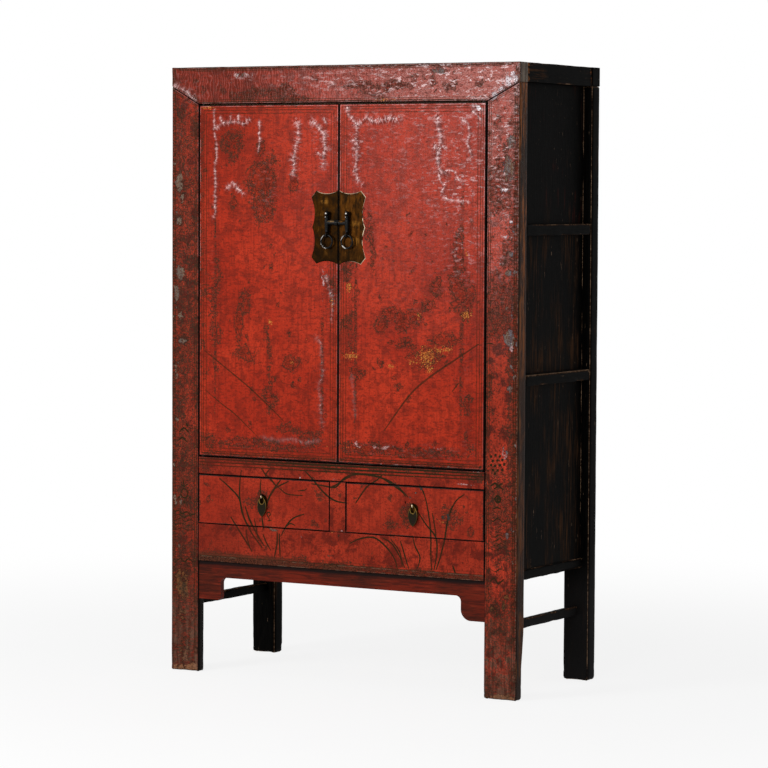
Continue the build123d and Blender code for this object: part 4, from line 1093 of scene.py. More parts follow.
@dataclass(frozen=True)
class RedLacquer:
    """Red lacquer over cloth, folded, crackled and rubbed through in places, with painted lines."""

    name: str
    bright: Tint = linear(176, 50, 27)
    full: Tint = linear(156, 40, 21)
    deep: Tint = linear(92, 27, 17)
    # painted_sheen: the colour of a painted reflection of the lamp, towards the upper right
    painted_sheen: Tint = linear(178, 112, 104)
    worn: Tint = linear(84, 46, 31)
    olive: Tint = linear(54, 40, 27)
    # peeled: lifted lacquer's whitish colour in the painted sheen, partly its own colour and partly
    # a painted highlight
    peeled: Tint = linear(230, 214, 220)
    dark: Tint = linear(38, 22, 15)
    ink: Tint = linear(37, 28, 11)
    # crest, left_crest and low_crest: painted highlight colours for the folds, ridges and arrises,
    # dimmer to the left and lower down
    crest: Tint = linear(214, 172, 172)
    left_crest: Tint = linear(188, 138, 134)
    low_crest: Tint = linear(134, 86, 80)
    bare: Tint = linear(118, 98, 82)
    slate: Tint = linear(96, 93, 99)
    low_flake: Tint = linear(104, 62, 36)
    dirt: Tint = linear(62, 46, 36)
    dust: Tint = linear(116, 88, 72)
    ashen: Tint = linear(90, 82, 76)
    gilt: Tint = linear(216, 136, 58)
    wood: Tint = linear(16, 10, 8)
    wood_dark: Tint = linear(8, 6, 5)
    # shade_black: the colour of the painted shade in the gaps
    shade_black: Tint = linear(9, 6, 5)
    foot: Tint = linear(150, 100, 68)
    lines: tuple[Point2, ...] = ()
    line_strength: float = 0.9
    wear_bias: float = 0.0
    streaks: float = 0.4
    folding: float = 0.5
    ripples: float = 0.5
    arris_light: float = 0.6
    # gap_shade: how far the painted shade reaches in from a gap, in millimetres
    gap_shade: float = 1.5
    mottle: float = 0.5
    ink_strength: float = 1.0
    skirting: float = 0.0
    # how strong the painted highlights on the pleats are
    pleat_highlights: float = 0.62
    # how strong the painted sheen is
    sheen_strength: float = 1.1
    fill: float = 0.85
    patchy: float = 0.5
    combed: float = 0.0
    # left_darkening: how much darker towards the upper left, and how strong the painted shade on
    # the left post's lower part is
    left_darkening: Point2 = (1.0, 0.5)

    def material(self) -> Material:
        """Mixes the finish.

        Returns:
            The material.
        """
        r = Recipe(self.name)
        worn, gilt, crest, bare = r.marks()
        edge, ink, front = r.mark("edge"), r.mark("ink"), r.mark("front")
        pleat, along, ripple = r.mark("pleat"), r.mark("along"), r.mark("ripple")
        x, z = r.axis("X"), r.axis("Z")
        # the upper right, where the painted sheen lies and the painted highlights are whitest
        sheen_zone = x.ramp(-420, 585) * z.ramp(800, 1780)
        broad = r.noise(170, 3)
        patch = r.noise(34, 4, 0.6, swirl=0.4)
        speck = r.noise(9, 4, 0.65)
        grit = r.noise(3.4, 3, 0.6)
        streak = r.noise(9, 4, 0.62, r.stretched(1, 1, 0.07))
        weave = r.noise(5, 2, 0.5, r.stretched(0.3, 1, 1))
        fleckle = r.noise(5.5, 4, 0.7)
        gather = r.node("ShaderNodeTexNoise", {"noise_dimensions": "1D"},
                        {"W": along / 7.5 + (speck - 0.5) * 2.2, "Scale": 1.0, "Detail": 1.0})
        folding = (ripple * 0.6 + self.folding * (0.4 + sheen_zone)).clamp()
        # a fine fold noise: painted highlights on its ridges, painted shade in its troughs
        fold = r.noise(8.5, 3, 0.6, r.stretched(0.45, 1, 1.2), 0.6)
        ridge = fold.ramp(0.53, 0.66)
        hollow_shade = fold.ramp(0.45, 0.34)
        shifted = r.vector("ADD", r.place, {1: r.vector("SCALE", r.node(
            "ShaderNodeTexNoise", {}, {"Vector": r.place, "Scale": 1 / 14}, "Color"), {3: 9.0})})
        crack = r.cells(15, shifted).ramp(0.07, 0.0)
        fine_crack = r.cells(6, shifted).ramp(0.09, 0.0)

        colour = r.paint(
            r.mix(broad.ramp(0.35, 0.65), self.full, self.bright),
            ((patch.ramp(0.54, 0.38) * self.patchy).clamp(), self.deep),
            (streak.ramp(0.52, 0.36) * self.streaks, self.deep),
            (weave.ramp(0.48, 0.36) * self.ripples, self.deep),
            (grit.ramp(0.56, 0.7) * 0.45, self.bright),
            (speck.ramp(0.44, 0.32) * 0.7, self.deep),
            (fleckle.ramp(0.47, 0.36) * self.mottle, self.deep),
            # darker towards the upper left, then painted shade on the left post's lower part, where
            # the light falls off
            (z.ramp(1380, 1620) * x.ramp(-60, -300) * (0.1 + 0.25 * patch) * self.left_darkening[0],
             self.deep),
            (z.ramp(1200, 500) * x.ramp(-480, -500) * patch * self.left_darkening[1], self.deep),
            (fleckle.ramp(0.38, 0.3) * self.mottle, self.dark),
            # the painted sheen: the lamp's reflection painted as colour towards the upper right
            ((sheen_zone * self.sheen_strength * (0.1 + 0.3 * grit.ramp(0.4, 0.62))).clamp(), self.painted_sheen))

        # rubbed through to the ground, with an olive border
        rubbing = (worn + self.wear_bias + (patch - 0.5) * 1.2 + (speck - 0.5) * 1.2
                   + (grit - 0.5) * 0.6)
        rubbed = rubbing.ramp(0.5, 0.9)
        worn_colour = r.paint(r.mix(grit.ramp(0.38, 0.62), self.dark, self.worn),
                              (weave.ramp(0.5, 0.62) * 0.6, self.full))
        colour = r.paint(colour, (rubbed * self.fill, worn_colour),
                         (rubbing.band(0.52, 0.08, 0.04) * 0.85, self.olive))

        # cracks, folds and what lies beside them: painted highlights on crests, ridges and
        # pleats, painted shade in troughs, between pleats and beside the folds
        # the painted highlights' colour: dimmer lower down and outside the painted sheen
        crest_highlight_colour = r.mix(z.ramp(1060, 1260), self.low_crest,
                             r.mix(sheen_zone, self.left_crest, self.crest))
        # comb lines: dark in their troughs, with painted highlights on their crests, stronger in
        # the painted sheen
        if self.combed:
            comb = r.node("ShaderNodeTexWave", {"bands_direction": "X"},
                          {"Vector": r.stretched(1, 1, 0.6), "Scale": 0.036, "Distortion": 15.0,
                           "Detail": 2.0, "Detail Scale": 0.9})
            share = (patch * 1.2 - 0.1) * (1 - sheen_zone).clamp() * self.combed
            colour = r.paint(colour, (comb.ramp(0.4, 0.1) * share, self.deep),
                             (comb.ramp(0.8, 1.0) * share * (0.35 + sheen_zone * 0.4), crest_highlight_colour))
        cracking = ((worn + self.wear_bias) * 0.9 + patch * 0.7).ramp(0.3, 0.9)
        glint = (ridge * folding * (sheen_zone * 0.7 + ripple * 0.42 + 0.04)).clamp()
        high = z.ramp(1060, 1260)
        lit = (pleat * gather.ramp(0.5, 0.62) * self.pleat_highlights
               + crest * (0.3 + 0.6 * high) * (0.4 + 0.6 * gather.ramp(0.42, 0.56))).clamp()
        lit = lit * grit.ramp(0.3, 0.5)
        # lifted lacquer: its own pale colour, painted with the highlight colours and whiter in the
        # painted sheen
        peel = (r.mark("peel") + (speck - 0.5) * 1.1).ramp(0.28, 0.5) * grit.ramp(0.34, 0.52)
        colour = r.paint(
            colour,
            ((crack * (cracking * 0.75 - 0.1)).clamp(), self.dark),
            ((fine_crack * cracking * 0.4).clamp(), self.dark),
            ((hollow_shade * folding * (0.25 + 0.5 * patch)).clamp(), self.dark),
            (glint * grit.ramp(0.36, 0.56), crest_highlight_colour),
            ((pleat * gather.ramp(0.5, 0.36) * 0.85).clamp(), self.deep),
            ((r.mark("lee") * (0.35 + 0.5 * speck)).clamp(), self.deep),
            (lit * 0.95, crest_highlight_colour),
            (peel, r.mix(sheen_zone * 1.6, self.left_crest, self.peeled)))

        # the painted lines, grasses and gilding
        if self.lines:
            drawn = None
            for distance, width in self.lines:
                one = (edge + (speck - 0.5) * 2.4).band(distance, width / 2, 0.5)
                drawn = one if drawn is None else drawn.most(one)
            drawn = (drawn * self.line_strength * (0.2 + 1.2 * patch)).clamp()
            colour = r.paint(colour, (drawn, self.ink))
        painted = (ink + (grit - 0.5) * 2.4).ramp(0.9, -0.5)
        fleck = (gilt + (speck - 0.5) * 1.8 + (grit - 0.5) * 2.6).ramp(0.68, 0.9)
        colour = r.paint(colour, ((painted * (0.5 + patch)).clamp() * self.ink_strength, self.ink),
                         (fleck, r.mix(grit.ramp(0.4, 0.7), self.worn, self.gilt)))

        # where it has flaked off, and the dust over the feet
        flaking = bare + z.ramp(34, 0) * 0.6 + (patch - 0.5) * 1.2 + (speck - 0.5) * 1.4
        flake = flaking.ramp(0.62, 0.72)
        flake_colour = r.paint(
            r.mix(streak.ramp(0.38, 0.6), self.bare, r.mix(x.ramp(0, 400), self.ashen, self.slate)),
            (grit.ramp(0.55, 0.42) * 0.85, self.worn),
            (speck.ramp(0.44, 0.36) * 0.7, self.dark),
            (z.ramp(420, 330), r.mix(speck.ramp(0.42, 0.62), self.olive, self.low_flake)),
            (z.ramp(60, 20) * grit.ramp(0.35, 0.6), self.foot))
        dusty = z.ramp(300, 60) * (patch * 0.6 + speck * 0.4).ramp(0.36, 0.62) * 0.6
        colour = r.paint(
            colour, (flake, flake_colour),
            (flaking.band(0.58, 0.04, 0.05) * bare.ramp(0.3, 0.5) * 0.8, self.dark),
            (dusty, r.mix(streak.ramp(0.4, 0.6), self.dirt, self.dust)))
        if self.skirting:
            colour = self._skirted(r, colour, patch, speck, grit)

        # painted shade in the gaps, painted highlights on the arrises, and rubbed outer edges
        outside = abs(x).ramp(572, 580).most(z.ramp(1786, 1793)).most(z.ramp(12, 4))
        tight = z.band(447.5, 5, 3).most(x.band(-31.5, 4, 2) * z.band(520, 74, 2)) * 1.5
        gap_shade = (edge + tight + (speck - 0.5) * 1.4).ramp(self.gap_shade + 0.6, self.gap_shade - 0.4)
        arris = ((edge + (speck - 0.5) * 2).band(self.gap_shade + 1.3, 0.4, 0.8)
                 * (patch * 0.6 + grit * 0.4).ramp(0.44, 0.56))
        rubbed_edge = (edge + (speck - 0.5) * 7).ramp(4.2, 1.6) * outside * front
        colour = r.paint(
            colour, ((arris * front * self.arris_light).clamp(), crest_highlight_colour),
            (gap_shade * (1 - outside) * 0.97, self.shade_black),
            (rubbed_edge * 0.85, r.mix(grit.ramp(0.42, 0.6), self.dark, self.bare)))

        # the wood behind the lacquered face, darker lower down, with painted shade on the
        # posts' inner sides in the gaps
        grain = r.noise(7, 4, 0.65, r.stretched(1, 1, 0.06))
        stain = r.noise(60, 4, 0.6, r.stretched(1, 1, 0.35)).ramp(0.48, 0.58)
        timber = r.paint(r.mix(grain.ramp(0.42, 0.58), self.wood_dark, self.wood),
                         (stain * 0.85, self.wood_dark), (z.ramp(1350, 500) * 0.55, self.dark),
                         (abs(x).ramp(503, 497) * 0.96, self.shade_black))
        colour = r.mix((front + (patch - 0.5) * 0.5).ramp(0.3, 0.5), timber, colour)

        height = grit * 0.3 + speck * 0.5 + weave * 0.35 * self.ripples + ridge * 0.8 * folding
        height = (height + pleat * gather * 2.2 + peel + fleckle * 0.5 - crack * 0.3 * cracking
                  - flake * 0.7 + grain * 0.2)
        rough = 0.5 + rubbed * 0.2 + (grit - 0.5) * 0.2 - crest * 0.15
        return r.finish(Base_Color=colour, Roughness=rough.clamp(), Specular_IOR_Level=0.04,
                        Coat_Weight=((crest + glint + lit + peel) * 0.6).clamp(),
                        Coat_Roughness=0.25, Normal=r.bump(height, 1.5))

    def _skirted(self, r: Recipe, colour: Field, patch: Field, speck: Field,
                 grit: Field) -> Field:
        """Adds the dirt and the grooves along a rail's lower border.

        Args:
            r: the recipe.
            colour: the colour so far.
            patch, speck, grit: the finish's coarse, middle and fine noise.

        Returns:
            The colour with them.
        """
        x, z = r.axis("X"), r.axis("Z")
        leftward = x.ramp(-40, -360)
        stain = (z + (patch - 0.5) * 30).ramp(self.skirting + 20, self.skirting) * leftward
        low = (z + (speck - 0.5) * 5).ramp(self.skirting + 1, self.skirting - 1.5)
        share = (0.45 + leftward * 0.6 + abs(x + 25).ramp(60, 20) * 0.5) * (0.5 + patch * 0.8)
        groove = (z + (speck - 0.5) * 2).band(self.skirting, 0.9, 0.7)
        groove = groove.most(z.band(359, 0.6, 0.6) * 0.7)
        lip = (z + (speck - 0.5) * 2.5).band(self.skirting - 2.2, 0.7, 0.7)
        lip = lip.most(z.band(335.5, 0.8, 0.8))
        return r.paint(
            colour, (leftward * 0.32, self.deep), (stain * 0.6, self.worn),
            (low * share.clamp(), r.mix(grit.ramp(0.4, 0.6), self.dark, self.worn)),
            ((groove * (0.3 + patch)).clamp(), self.ink),
            (lip * patch.ramp(0.5, 0.58) * 0.55, self.bare))


@dataclass(frozen=True)
class ApronLacquer:
    """Thin dark red lacquer through which the wood's grain shows, browner below."""

    name: str
    red: Tint = linear(99, 28, 14)
    brown: Tint = linear(50, 22, 12)
    dark: Tint = linear(24, 13, 9)
    pale: Tint = linear(130, 50, 31)
    shade: Tint = linear(12, 8, 7)

    def material(self) -> Material:
        """Mixes the finish.

        Returns:
            The material.
        """
        r = Recipe(self.name)
        grain = r.noise(5, 4, 0.62, r.stretched(0.07, 1, 1), 0.6)
        broad = r.noise(90, 3, 0.55, r.stretched(0.5, 1, 1))
        grit = r.noise(3, 3)
        colour = r.paint(r.mix(broad.ramp(0.4, 0.62) * 0.6, self.red, self.brown),
                         (grain.ramp(0.52, 0.4) * 0.55, self.dark),
                         (grain.ramp(0.58, 0.68) * 0.4, self.pale),
                         (r.axis("Z").ramp(316, 328) * 0.95, self.shade))
        return r.finish(Base_Color=colour, Roughness=(0.5 + (grit - 0.5) * 0.3).clamp(),
                        Specular_IOR_Level=0.06, Normal=r.bump(grain + grit * 0.3, 0.6, 0.7))


@dataclass(frozen=True)
class DarkLacquer:
    """Black lacquer rubbed back to brown wood on its arrises and along its grain."""

    name: str
    grain: Grain = Grain.Z
    black: Tint = linear(3, 3, 3)
    ash: Tint = linear(9, 8, 7)
    brown: Tint = linear(66, 44, 29)
    ember: Tint = linear(72, 24, 15)
    pale: Tint = linear(164, 134, 108)
    lower_right_grey: Tint = linear(27, 26, 26)
    honey: Tint = linear(150, 88, 46)
    rubbed: float = 0.35
    ember_share: float = 0.0
    worn_ends: float = 0.0
    rear_line: bool = False
    noted: bool = True

    def material(self) -> Material:
        """Mixes the finish.

        Returns:
            The material.
        """
        r = Recipe(self.name)
        along = self.grain.value
        patchy = tuple(share if share == 1 else 0.3 for share in along)
        grain = r.noise(8, 4, 0.6, r.stretched(*along))
        broad = r.noise(80, 4, 0.6, r.stretched(*patchy))
        fine = r.noise(2.8, 3, 0.6, r.stretched(*along))
        grit = r.noise(4, 3)
        speck = r.noise(11, 3, 0.6)
        show = broad.ramp(0.62 - 0.22 * self.rubbed, 0.74 - 0.12 * self.rubbed)
        through = show * (grain * 0.75 + fine * 0.25).ramp(0.46, 0.6)
        scratch = r.noise(3.4, 2, 0.5, r.stretched(*along)).ramp(0.68, 0.76)
        colour = r.paint(r.mix(fine.ramp(0.4, 0.62), self.black, self.ash),
                         ((through * 0.8).clamp(), self.brown),
                         (scratch * speck.ramp(0.5, 0.62) * 0.6, self.pale))
        if self.ember_share:
            glow = r.noise(60, 3, 0.6, r.stretched(*patchy)).ramp(0.54, 0.64)
            glow = glow * grain.ramp(0.48, 0.6) * self.ember_share
            colour = r.paint(colour, (glow, self.ember))
        # lighter grey towards the lower right
        lower_right = r.axis("Z").ramp(380, 240) * r.axis("X").ramp(400, 500)
        colour = r.paint(colour, (lower_right * 0.8, self.lower_right_grey))
        if self.worn_ends:
            y = r.axis("Y")
            ends = (y.ramp(-165, -205) + y.ramp(165, 205) * 0.8) * self.worn_ends
            brown = (ends + (speck - 0.5) * 1.2 + (grain - 0.5)).ramp(0.6, 0.95)
            colour = r.paint(colour, (brown, r.mix(grit.ramp(0.4, 0.6), self.brown, self.honey)))
        if self.rear_line:
            line = (r.axis("Y") + (fine - 0.5) * 3).band(197.5, 1.6, 0.8)
            line = line * r.noise(60, 3, 0.6, r.stretched(1, 1, 0.5)).ramp(0.44, 0.56)
            colour = r.paint(colour, (line, r.mix(grit.ramp(0.4, 0.6), self.brown, self.pale)))
        if self.noted:
            rub = r.mark("rub") + (grit - 0.5) * 0.9
            colour = r.paint(colour,
                             ((rub + (speck - 0.5) * 0.8).ramp(0.5, 0.95) * 0.85, self.brown),
                             ((rub + (speck - 0.5) * 1.2).ramp(0.95, 1.3), self.pale))
        height = grain * 0.6 + fine * 0.4 + grit * 0.2 + through * 0.3
        rough = 0.5 + (grit - 0.5) * 0.25 + through * 0.15
        return r.finish(Base_Color=colour, Roughness=rough.clamp(), Specular_IOR_Level=0.011,
                        Normal=r.bump(height, 0.8, 0.8))


@dataclass(frozen=True)
class BareWood:
    """Plain old wood of the inside, with its grain."""

    name: str
    grain: Grain = Grain.X
    light: Tint = linear(150, 112, 76)
    dark: Tint = linear(96, 64, 42)
    pore: Tint = linear(52, 36, 26)
    shade: Tint = linear(12, 8, 6)

    def material(self) -> Material:
        """Mixes the finish.

        Returns:
            The material.
        """
        r = Recipe(self.name)
        along = self.grain.value
        grain = r.noise(7, 4, 0.65, r.stretched(*along), 0.3)
        board = r.noise(120, 3, 0.5, r.stretched(*along))
        pore = r.noise(1.6, 2, 0.6, r.stretched(*along))
        colour = r.paint(r.mix(grain.ramp(0.32, 0.68), self.dark, self.light),
                         (board.ramp(0.4, 0.65) * 0.5, self.dark),
                         (pore.ramp(0.42, 0.32) * 0.6, self.pore),
                         (r.axis("Y").ramp(-232, -243) * 0.95, self.shade))
        return r.finish(Base_Color=colour, Roughness=(0.62 + (grain - 0.5) * 0.2).clamp(),
                        Specular_IOR_Level=0.25, Normal=r.bump(grain + pore * 0.5, 0.4, 0.6))


@dataclass(frozen=True)
class OldBrass:
    """Dark brown brass with painted highlights, also along its rim, and painted shade at the slit.
    """

    name: str
    dark: Tint = linear(22, 12, 3)
    warm: Tint = linear(40, 20, 1)
    golden: Tint = linear(66, 36, 6)
    bright: Tint = linear(102, 66, 22)
    # rim: the colour of the painted highlights on a plate's rim and on a pull's eye
    rim: Tint = linear(236, 216, 182)
    # gap: the colour of the painted shade along the lock's meeting slit
    gap: Tint = linear(8, 5, 3)
    glints: tuple = ((52, 1342, 11, 26), (60, 1292, 15, 8), (-50, 1405, 8, 20))
    has_rim: bool = False
    eye_highlight: bool = False
    lit_beyond: Point2 = (20.0, 80.0)
    rim_reach: float = 2.0

    def material(self) -> Material:
        """Mixes the finish.

        Returns:
            The material.
        """
        r = Recipe(self.name)
        stain = r.noise(26, 4, 0.6, swirl=0.5)
        streak = r.noise(8, 3, 0.6, r.stretched(1, 1, 0.25))
        grit = r.noise(2.2, 3, 0.6)
        x, z = r.axis("X"), r.axis("Z")
        sunny = x.ramp(-12, 40) * 0.55 + 0.3
        colour = r.paint(
            r.mix((stain * 0.7 + streak * 0.4).ramp(0.44, 0.68), self.dark, self.warm),
            (x.ramp(-4, 10) * streak.ramp(0.34, 0.6) * 0.7, self.golden),
            ((stain.ramp(0.54, 0.7) * streak.ramp(0.45, 0.6) * sunny).clamp(), self.bright),
            (z.ramp(1290, 1240) * 0.55, self.dark))
        # painted highlights on given spots
        for centre_x, centre_z, high, wide in self.glints:
            aside, above = x - centre_x, z - centre_z
            spot = (aside * aside / wide**2 + above * above / high**2).ramp(1, 0.1)
            spot = spot * (streak * 0.7 + grit * 0.3).ramp(0.4, 0.6) * 0.75
            colour = r.paint(colour, (spot.clamp(), self.bright))
        if self.eye_highlight:
            # a painted highlight on the front of a pull's eye
            rubbed = r.axis("Y").ramp(-261, -263.5) * z.ramp(541.5, 539.5) * grit.ramp(0.32, 0.5)
            colour = r.paint(colour, (rubbed * 0.9, self.rim))
        if self.has_rim:
            # along a plate's rim: darker near it, a painted highlight on its right and top, and
            # painted shade along the meeting slit
            rim = r.mark("rim")
            side = x.ramp(*self.lit_beyond).most(z.ramp(1405, 1432) * 0.8)
            shine = (rim + (grit - 0.5) * 1.5).ramp(self.rim_reach, 0.4) * side
            colour = r.paint(colour, (rim.ramp(14, 2) * stain.ramp(0.6, 0.4) * 0.7, self.dark),
                             (shine * r.noise(20, 2).ramp(0.36, 0.52), self.rim),
                             (abs(x - LAYOUT.meeting).ramp(4.2, 3.0), self.gap))
        rough = 0.36 + (stain - 0.5) * 0.25 + (grit - 0.5) * 0.2
        return r.finish(Base_Color=colour, Metallic=0.6, Roughness=rough.clamp(),
                        Specular_IOR_Level=0.02, Normal=r.bump(grit * 0.5 + stain, 0.35, 0.6))


@dataclass(frozen=True)
class PullBrass:
    """The drops' brass: a dark olive body inside a golden rim."""

    name: str
    body: Tint = linear(30, 21, 15)
    olive: Tint = linear(26, 23, 9)
    gold: Tint = linear(116, 92, 38)
    border: Tint = linear(20, 18, 8)

    def material(self) -> Material:
        """Mixes the finish.

        Returns:
            The material.
        """
        r = Recipe(self.name)
        grit = r.noise(2, 3, 0.6)
        stain = r.noise(9, 3, 0.6)
        rim = r.mark("rim")
        upper = r.axis("Z").ramp(498, 524) * 0.75 + 0.25
        gold = (rim + (stain - 0.5) * 3).ramp(3.4, 1.4) * upper
        colour = r.paint(r.mix(stain.ramp(0.4, 0.6), self.body, self.olive),
                         (gold * 0.85, self.gold),
                         ((rim + (grit - 0.5)).ramp(0.9, 0.2) * 0.5, self.border))
        rough = 0.34 + (grit - 0.5) * 0.3
        return r.finish(Base_Color=colour, Metallic=0.5, Roughness=rough.clamp(),
                        Specular_IOR_Level=0.1, Normal=r.bump(grit + stain * 0.5, 0.3, 0.6))


@dataclass(frozen=True)
class DarkIron:
    """Forged iron, black, with painted highlights on the knobs, beads and rings."""

    name: str
    black: Tint = linear(6, 5, 5)
    grey: Tint = linear(30, 26, 24)
    # shine: the colour of the painted highlights
    shine: Tint = linear(214, 208, 200)

    def material(self) -> Material:
        """Mixes the finish.

        Returns:
            The material.
        """
        r = Recipe(self.name)
        forge = r.noise(5, 3, 0.6)
        grit = r.noise(1.6, 2)
        x, z = r.axis("X"), r.axis("Z")
        # painted highlights: a spot on the front of each knob and bead, and arcs on each ring's
        # lower left and upper left
        foremost = r.axis("Y").ramp(-263, -266)
        beside = x + 37.5 - x.ramp(-3.2, -2.8) * 68
        knob, bead, ring = z - 1371.5, z - 1361, z - 1290
        knob = (beside * beside + knob * knob).ramp(7, 3) * foremost
        bead = ((beside + 2) * (beside + 2) + bead * bead).ramp(5, 2) * foremost * 0.5
        lower = (beside * -0.66 - ring * 0.75).ramp(15.4, 17) * r.noise(7, 2).ramp(0.4, 0.6) * 0.8
        upper = (beside * -0.8 + ring * 0.6).ramp(17, 18.5) * z.ramp(1312, 1310) * 0.5
        colour = r.paint(r.mix(forge.ramp(0.52, 0.75) * 0.5, self.black, self.grey),
                         (knob.most(bead).most(lower).most(upper), self.shine))
        return r.finish(Base_Color=colour, Roughness=(0.3 + (grit - 0.5) * 0.2).clamp(),
                        Specular_IOR_Level=0.1, Normal=r.bump(forge + grit * 0.3, 0.35, 0.6))


class Slot(Enum):
    """Names for the kinds of finish, passed along with the pieces but not used."""

    RED = "red_lacquer"
    DARK = "dark_lacquer"
    BARE = "bare_wood"
    BRASS = "aged_brass"
    IRON = "dark_iron"


def mixed(finish: "RedLacquer | ApronLacquer | DarkLacquer | OldBrass | PullBrass | DarkIron"
          ) -> Material:
    """A dataclass field whose value is the finish's material."""
    return field(default_factory=finish.material)


@dataclass
class Finishes:
    """Every finish of the cabinet, mixed once, in this order."""

    door: Material = mixed(RedLacquer(
        "door_lacquer", lines=((8.5, 2.4), (15.5, 2.6), (25.0, 2.4)), wear_bias=0.04, folding=0.4,
        arris_light=1.0, gap_shade=2.6, ink_strength=0.78, line_strength=0.8, fill=0.5))
    post: Material = mixed(RedLacquer(
        "post_lacquer", bright=linear(190, 60, 37), full=linear(152, 45, 26),
        deep=linear(74, 28, 19), wood=linear(130, 76, 40), wood_dark=linear(36, 27, 22),
        lines=((7.5, 2.0), (13.5, 2.2)), wear_bias=0.16, folding=0.4, ripples=0.35, mottle=1.15,
        gap_shade=2.2, sheen_strength=2.3, patchy=1.0, combed=0.25, left_darkening=(0.2, 0.5)))
    top: Material = mixed(RedLacquer(
        "top_rail_lacquer", bright=linear(160, 54, 38), full=linear(136, 44, 29),
        deep=linear(78, 28, 19), wood=linear(122, 108, 94), wood_dark=linear(72, 60, 52),
        lines=((6.0, 2.6), (12.5, 2.2)), wear_bias=0.1, line_strength=0.8, folding=0.8,
        ripples=0.2, mottle=0.6, gap_shade=2.4, sheen_strength=3.2, patchy=0.8, combed=0.8))
    rail: Material = mixed(RedLacquer(
        "rail_lacquer", bright=linear(168, 52, 31), full=linear(138, 40, 23), mottle=0.75,
        wear_bias=0.1, folding=0.12, patchy=0.95, ripples=0.35, arris_light=0.15, gap_shade=1.8,
        skirting=351))
    drawer: Material = mixed(RedLacquer(
        "drawer_lacquer", bright=linear(166, 50, 29), full=linear(144, 40, 23), wear_bias=0.05,
        folding=0.08, ripples=0.35, arris_light=0.22, gap_shade=2.0))
    apron: Material = mixed(ApronLacquer("apron_lacquer"))
    upright: Material = mixed(DarkLacquer("dark_upright", rubbed=0.15))
    crosswise: Material = mixed(DarkLacquer("dark_crosswise", Grain.X))
    inward: Material = mixed(DarkLacquer("dark_inward", Grain.Y))
    end_worn: Material = mixed(DarkLacquer("dark_end_worn", Grain.Y, worn_ends=0.9))
    side_board: Material = mixed(DarkLacquer(
        "dark_side_board", rubbed=0.3, ember_share=0.4, rear_line=True, noted=False))
    worn_board: Material = mixed(DarkLacquer(
        "worn_side_board", rubbed=0.85, rear_line=True, noted=False))
    back_board: Material = mixed(DarkLacquer(
        "dark_back_board", Grain.X, rubbed=0.4, noted=False))
    wood: dict[Grain, Material] = field(default_factory=lambda: {
        grain: BareWood(f"bare_wood_{grain.name.lower()}", grain).material() for grain in Grain})
    brass: Material = mixed(OldBrass("old_brass", eye_highlight=True))
    lock_brass: Material = mixed(OldBrass("lock_brass", has_rim=True))
    pull_brass: Material = mixed(PullBrass("pull_brass"))
    left_pin: Material = mixed(OldBrass(
        "pale_pin_brass", dark=linear(74, 58, 38), warm=linear(150, 124, 92),
        bright=linear(214, 196, 166)))
    right_pin: Material = mixed(OldBrass(
        "dark_pin_brass", dark=linear(16, 11, 5), warm=linear(58, 42, 18),
        bright=linear(96, 76, 44)))
    iron: Material = mixed(DarkIron("black_iron"))


# ---- Sub-assemblies --------------------
@dataclass
class Part:
    """What every sub-assembly shares: the layout, the finishes and the frame's nodes."""

    nodes: dict[str, bpy.types.Object]
    finishes: Finishes
    front: Front
    layout: Layout = LAYOUT

    def place(self, made: bpy.types.Object, material: Material, body: str, slot: Slot,
              stands_for: tuple[str, ...] = ()) -> bpy.types.Object:
        """Dresses a new piece and ties it to its body.

        Args:
            made: the piece.
            material: its finish.
            body: the body that it rides on.
            slot: not used.
            stands_for: the nodes that it replaces.

        Returns:
            The same piece.
        """
        made.data.materials.append(material)
        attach(made, body)
        if stands_for:
            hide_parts(*stands_for)
        log.info("%s: %d faces on %s", made.name, len(made.data.polygons), body)
        return made

    def lacquer(self, board: Board, weather: Weather, name: str, material: Material,
                body: str = "carcass", node: str = "", passing: float = 0.0) -> None:
        """Builds a board whose front is lacquered.

        Args:
            board: the board.
            weather: how worn it is.
            name: the new piece's name.
            material: its finish.
            body: the body that it rides on.
            node: the node that it replaces, or nothing.
            passing: where it passes the post as it opens, as its front face takes it.
        """
        surface = board.surface()
        weather.apply(surface)
        FrontFace(self.front, passing).apply(surface)
        self.place(surface.mesh(name), material, body, Slot.RED, (node,) if node else ())

    def dress(self, name: str, material: Material) -> None:
        """Gives a carried-over node its finish.

        Args:
            name: the node's name.
            material: its finish.
        """
        node = self.nodes[name]
        node.data.materials.clear()
        node.data.materials.append(material)
        log.info("%s: finish %s", name, material.name)


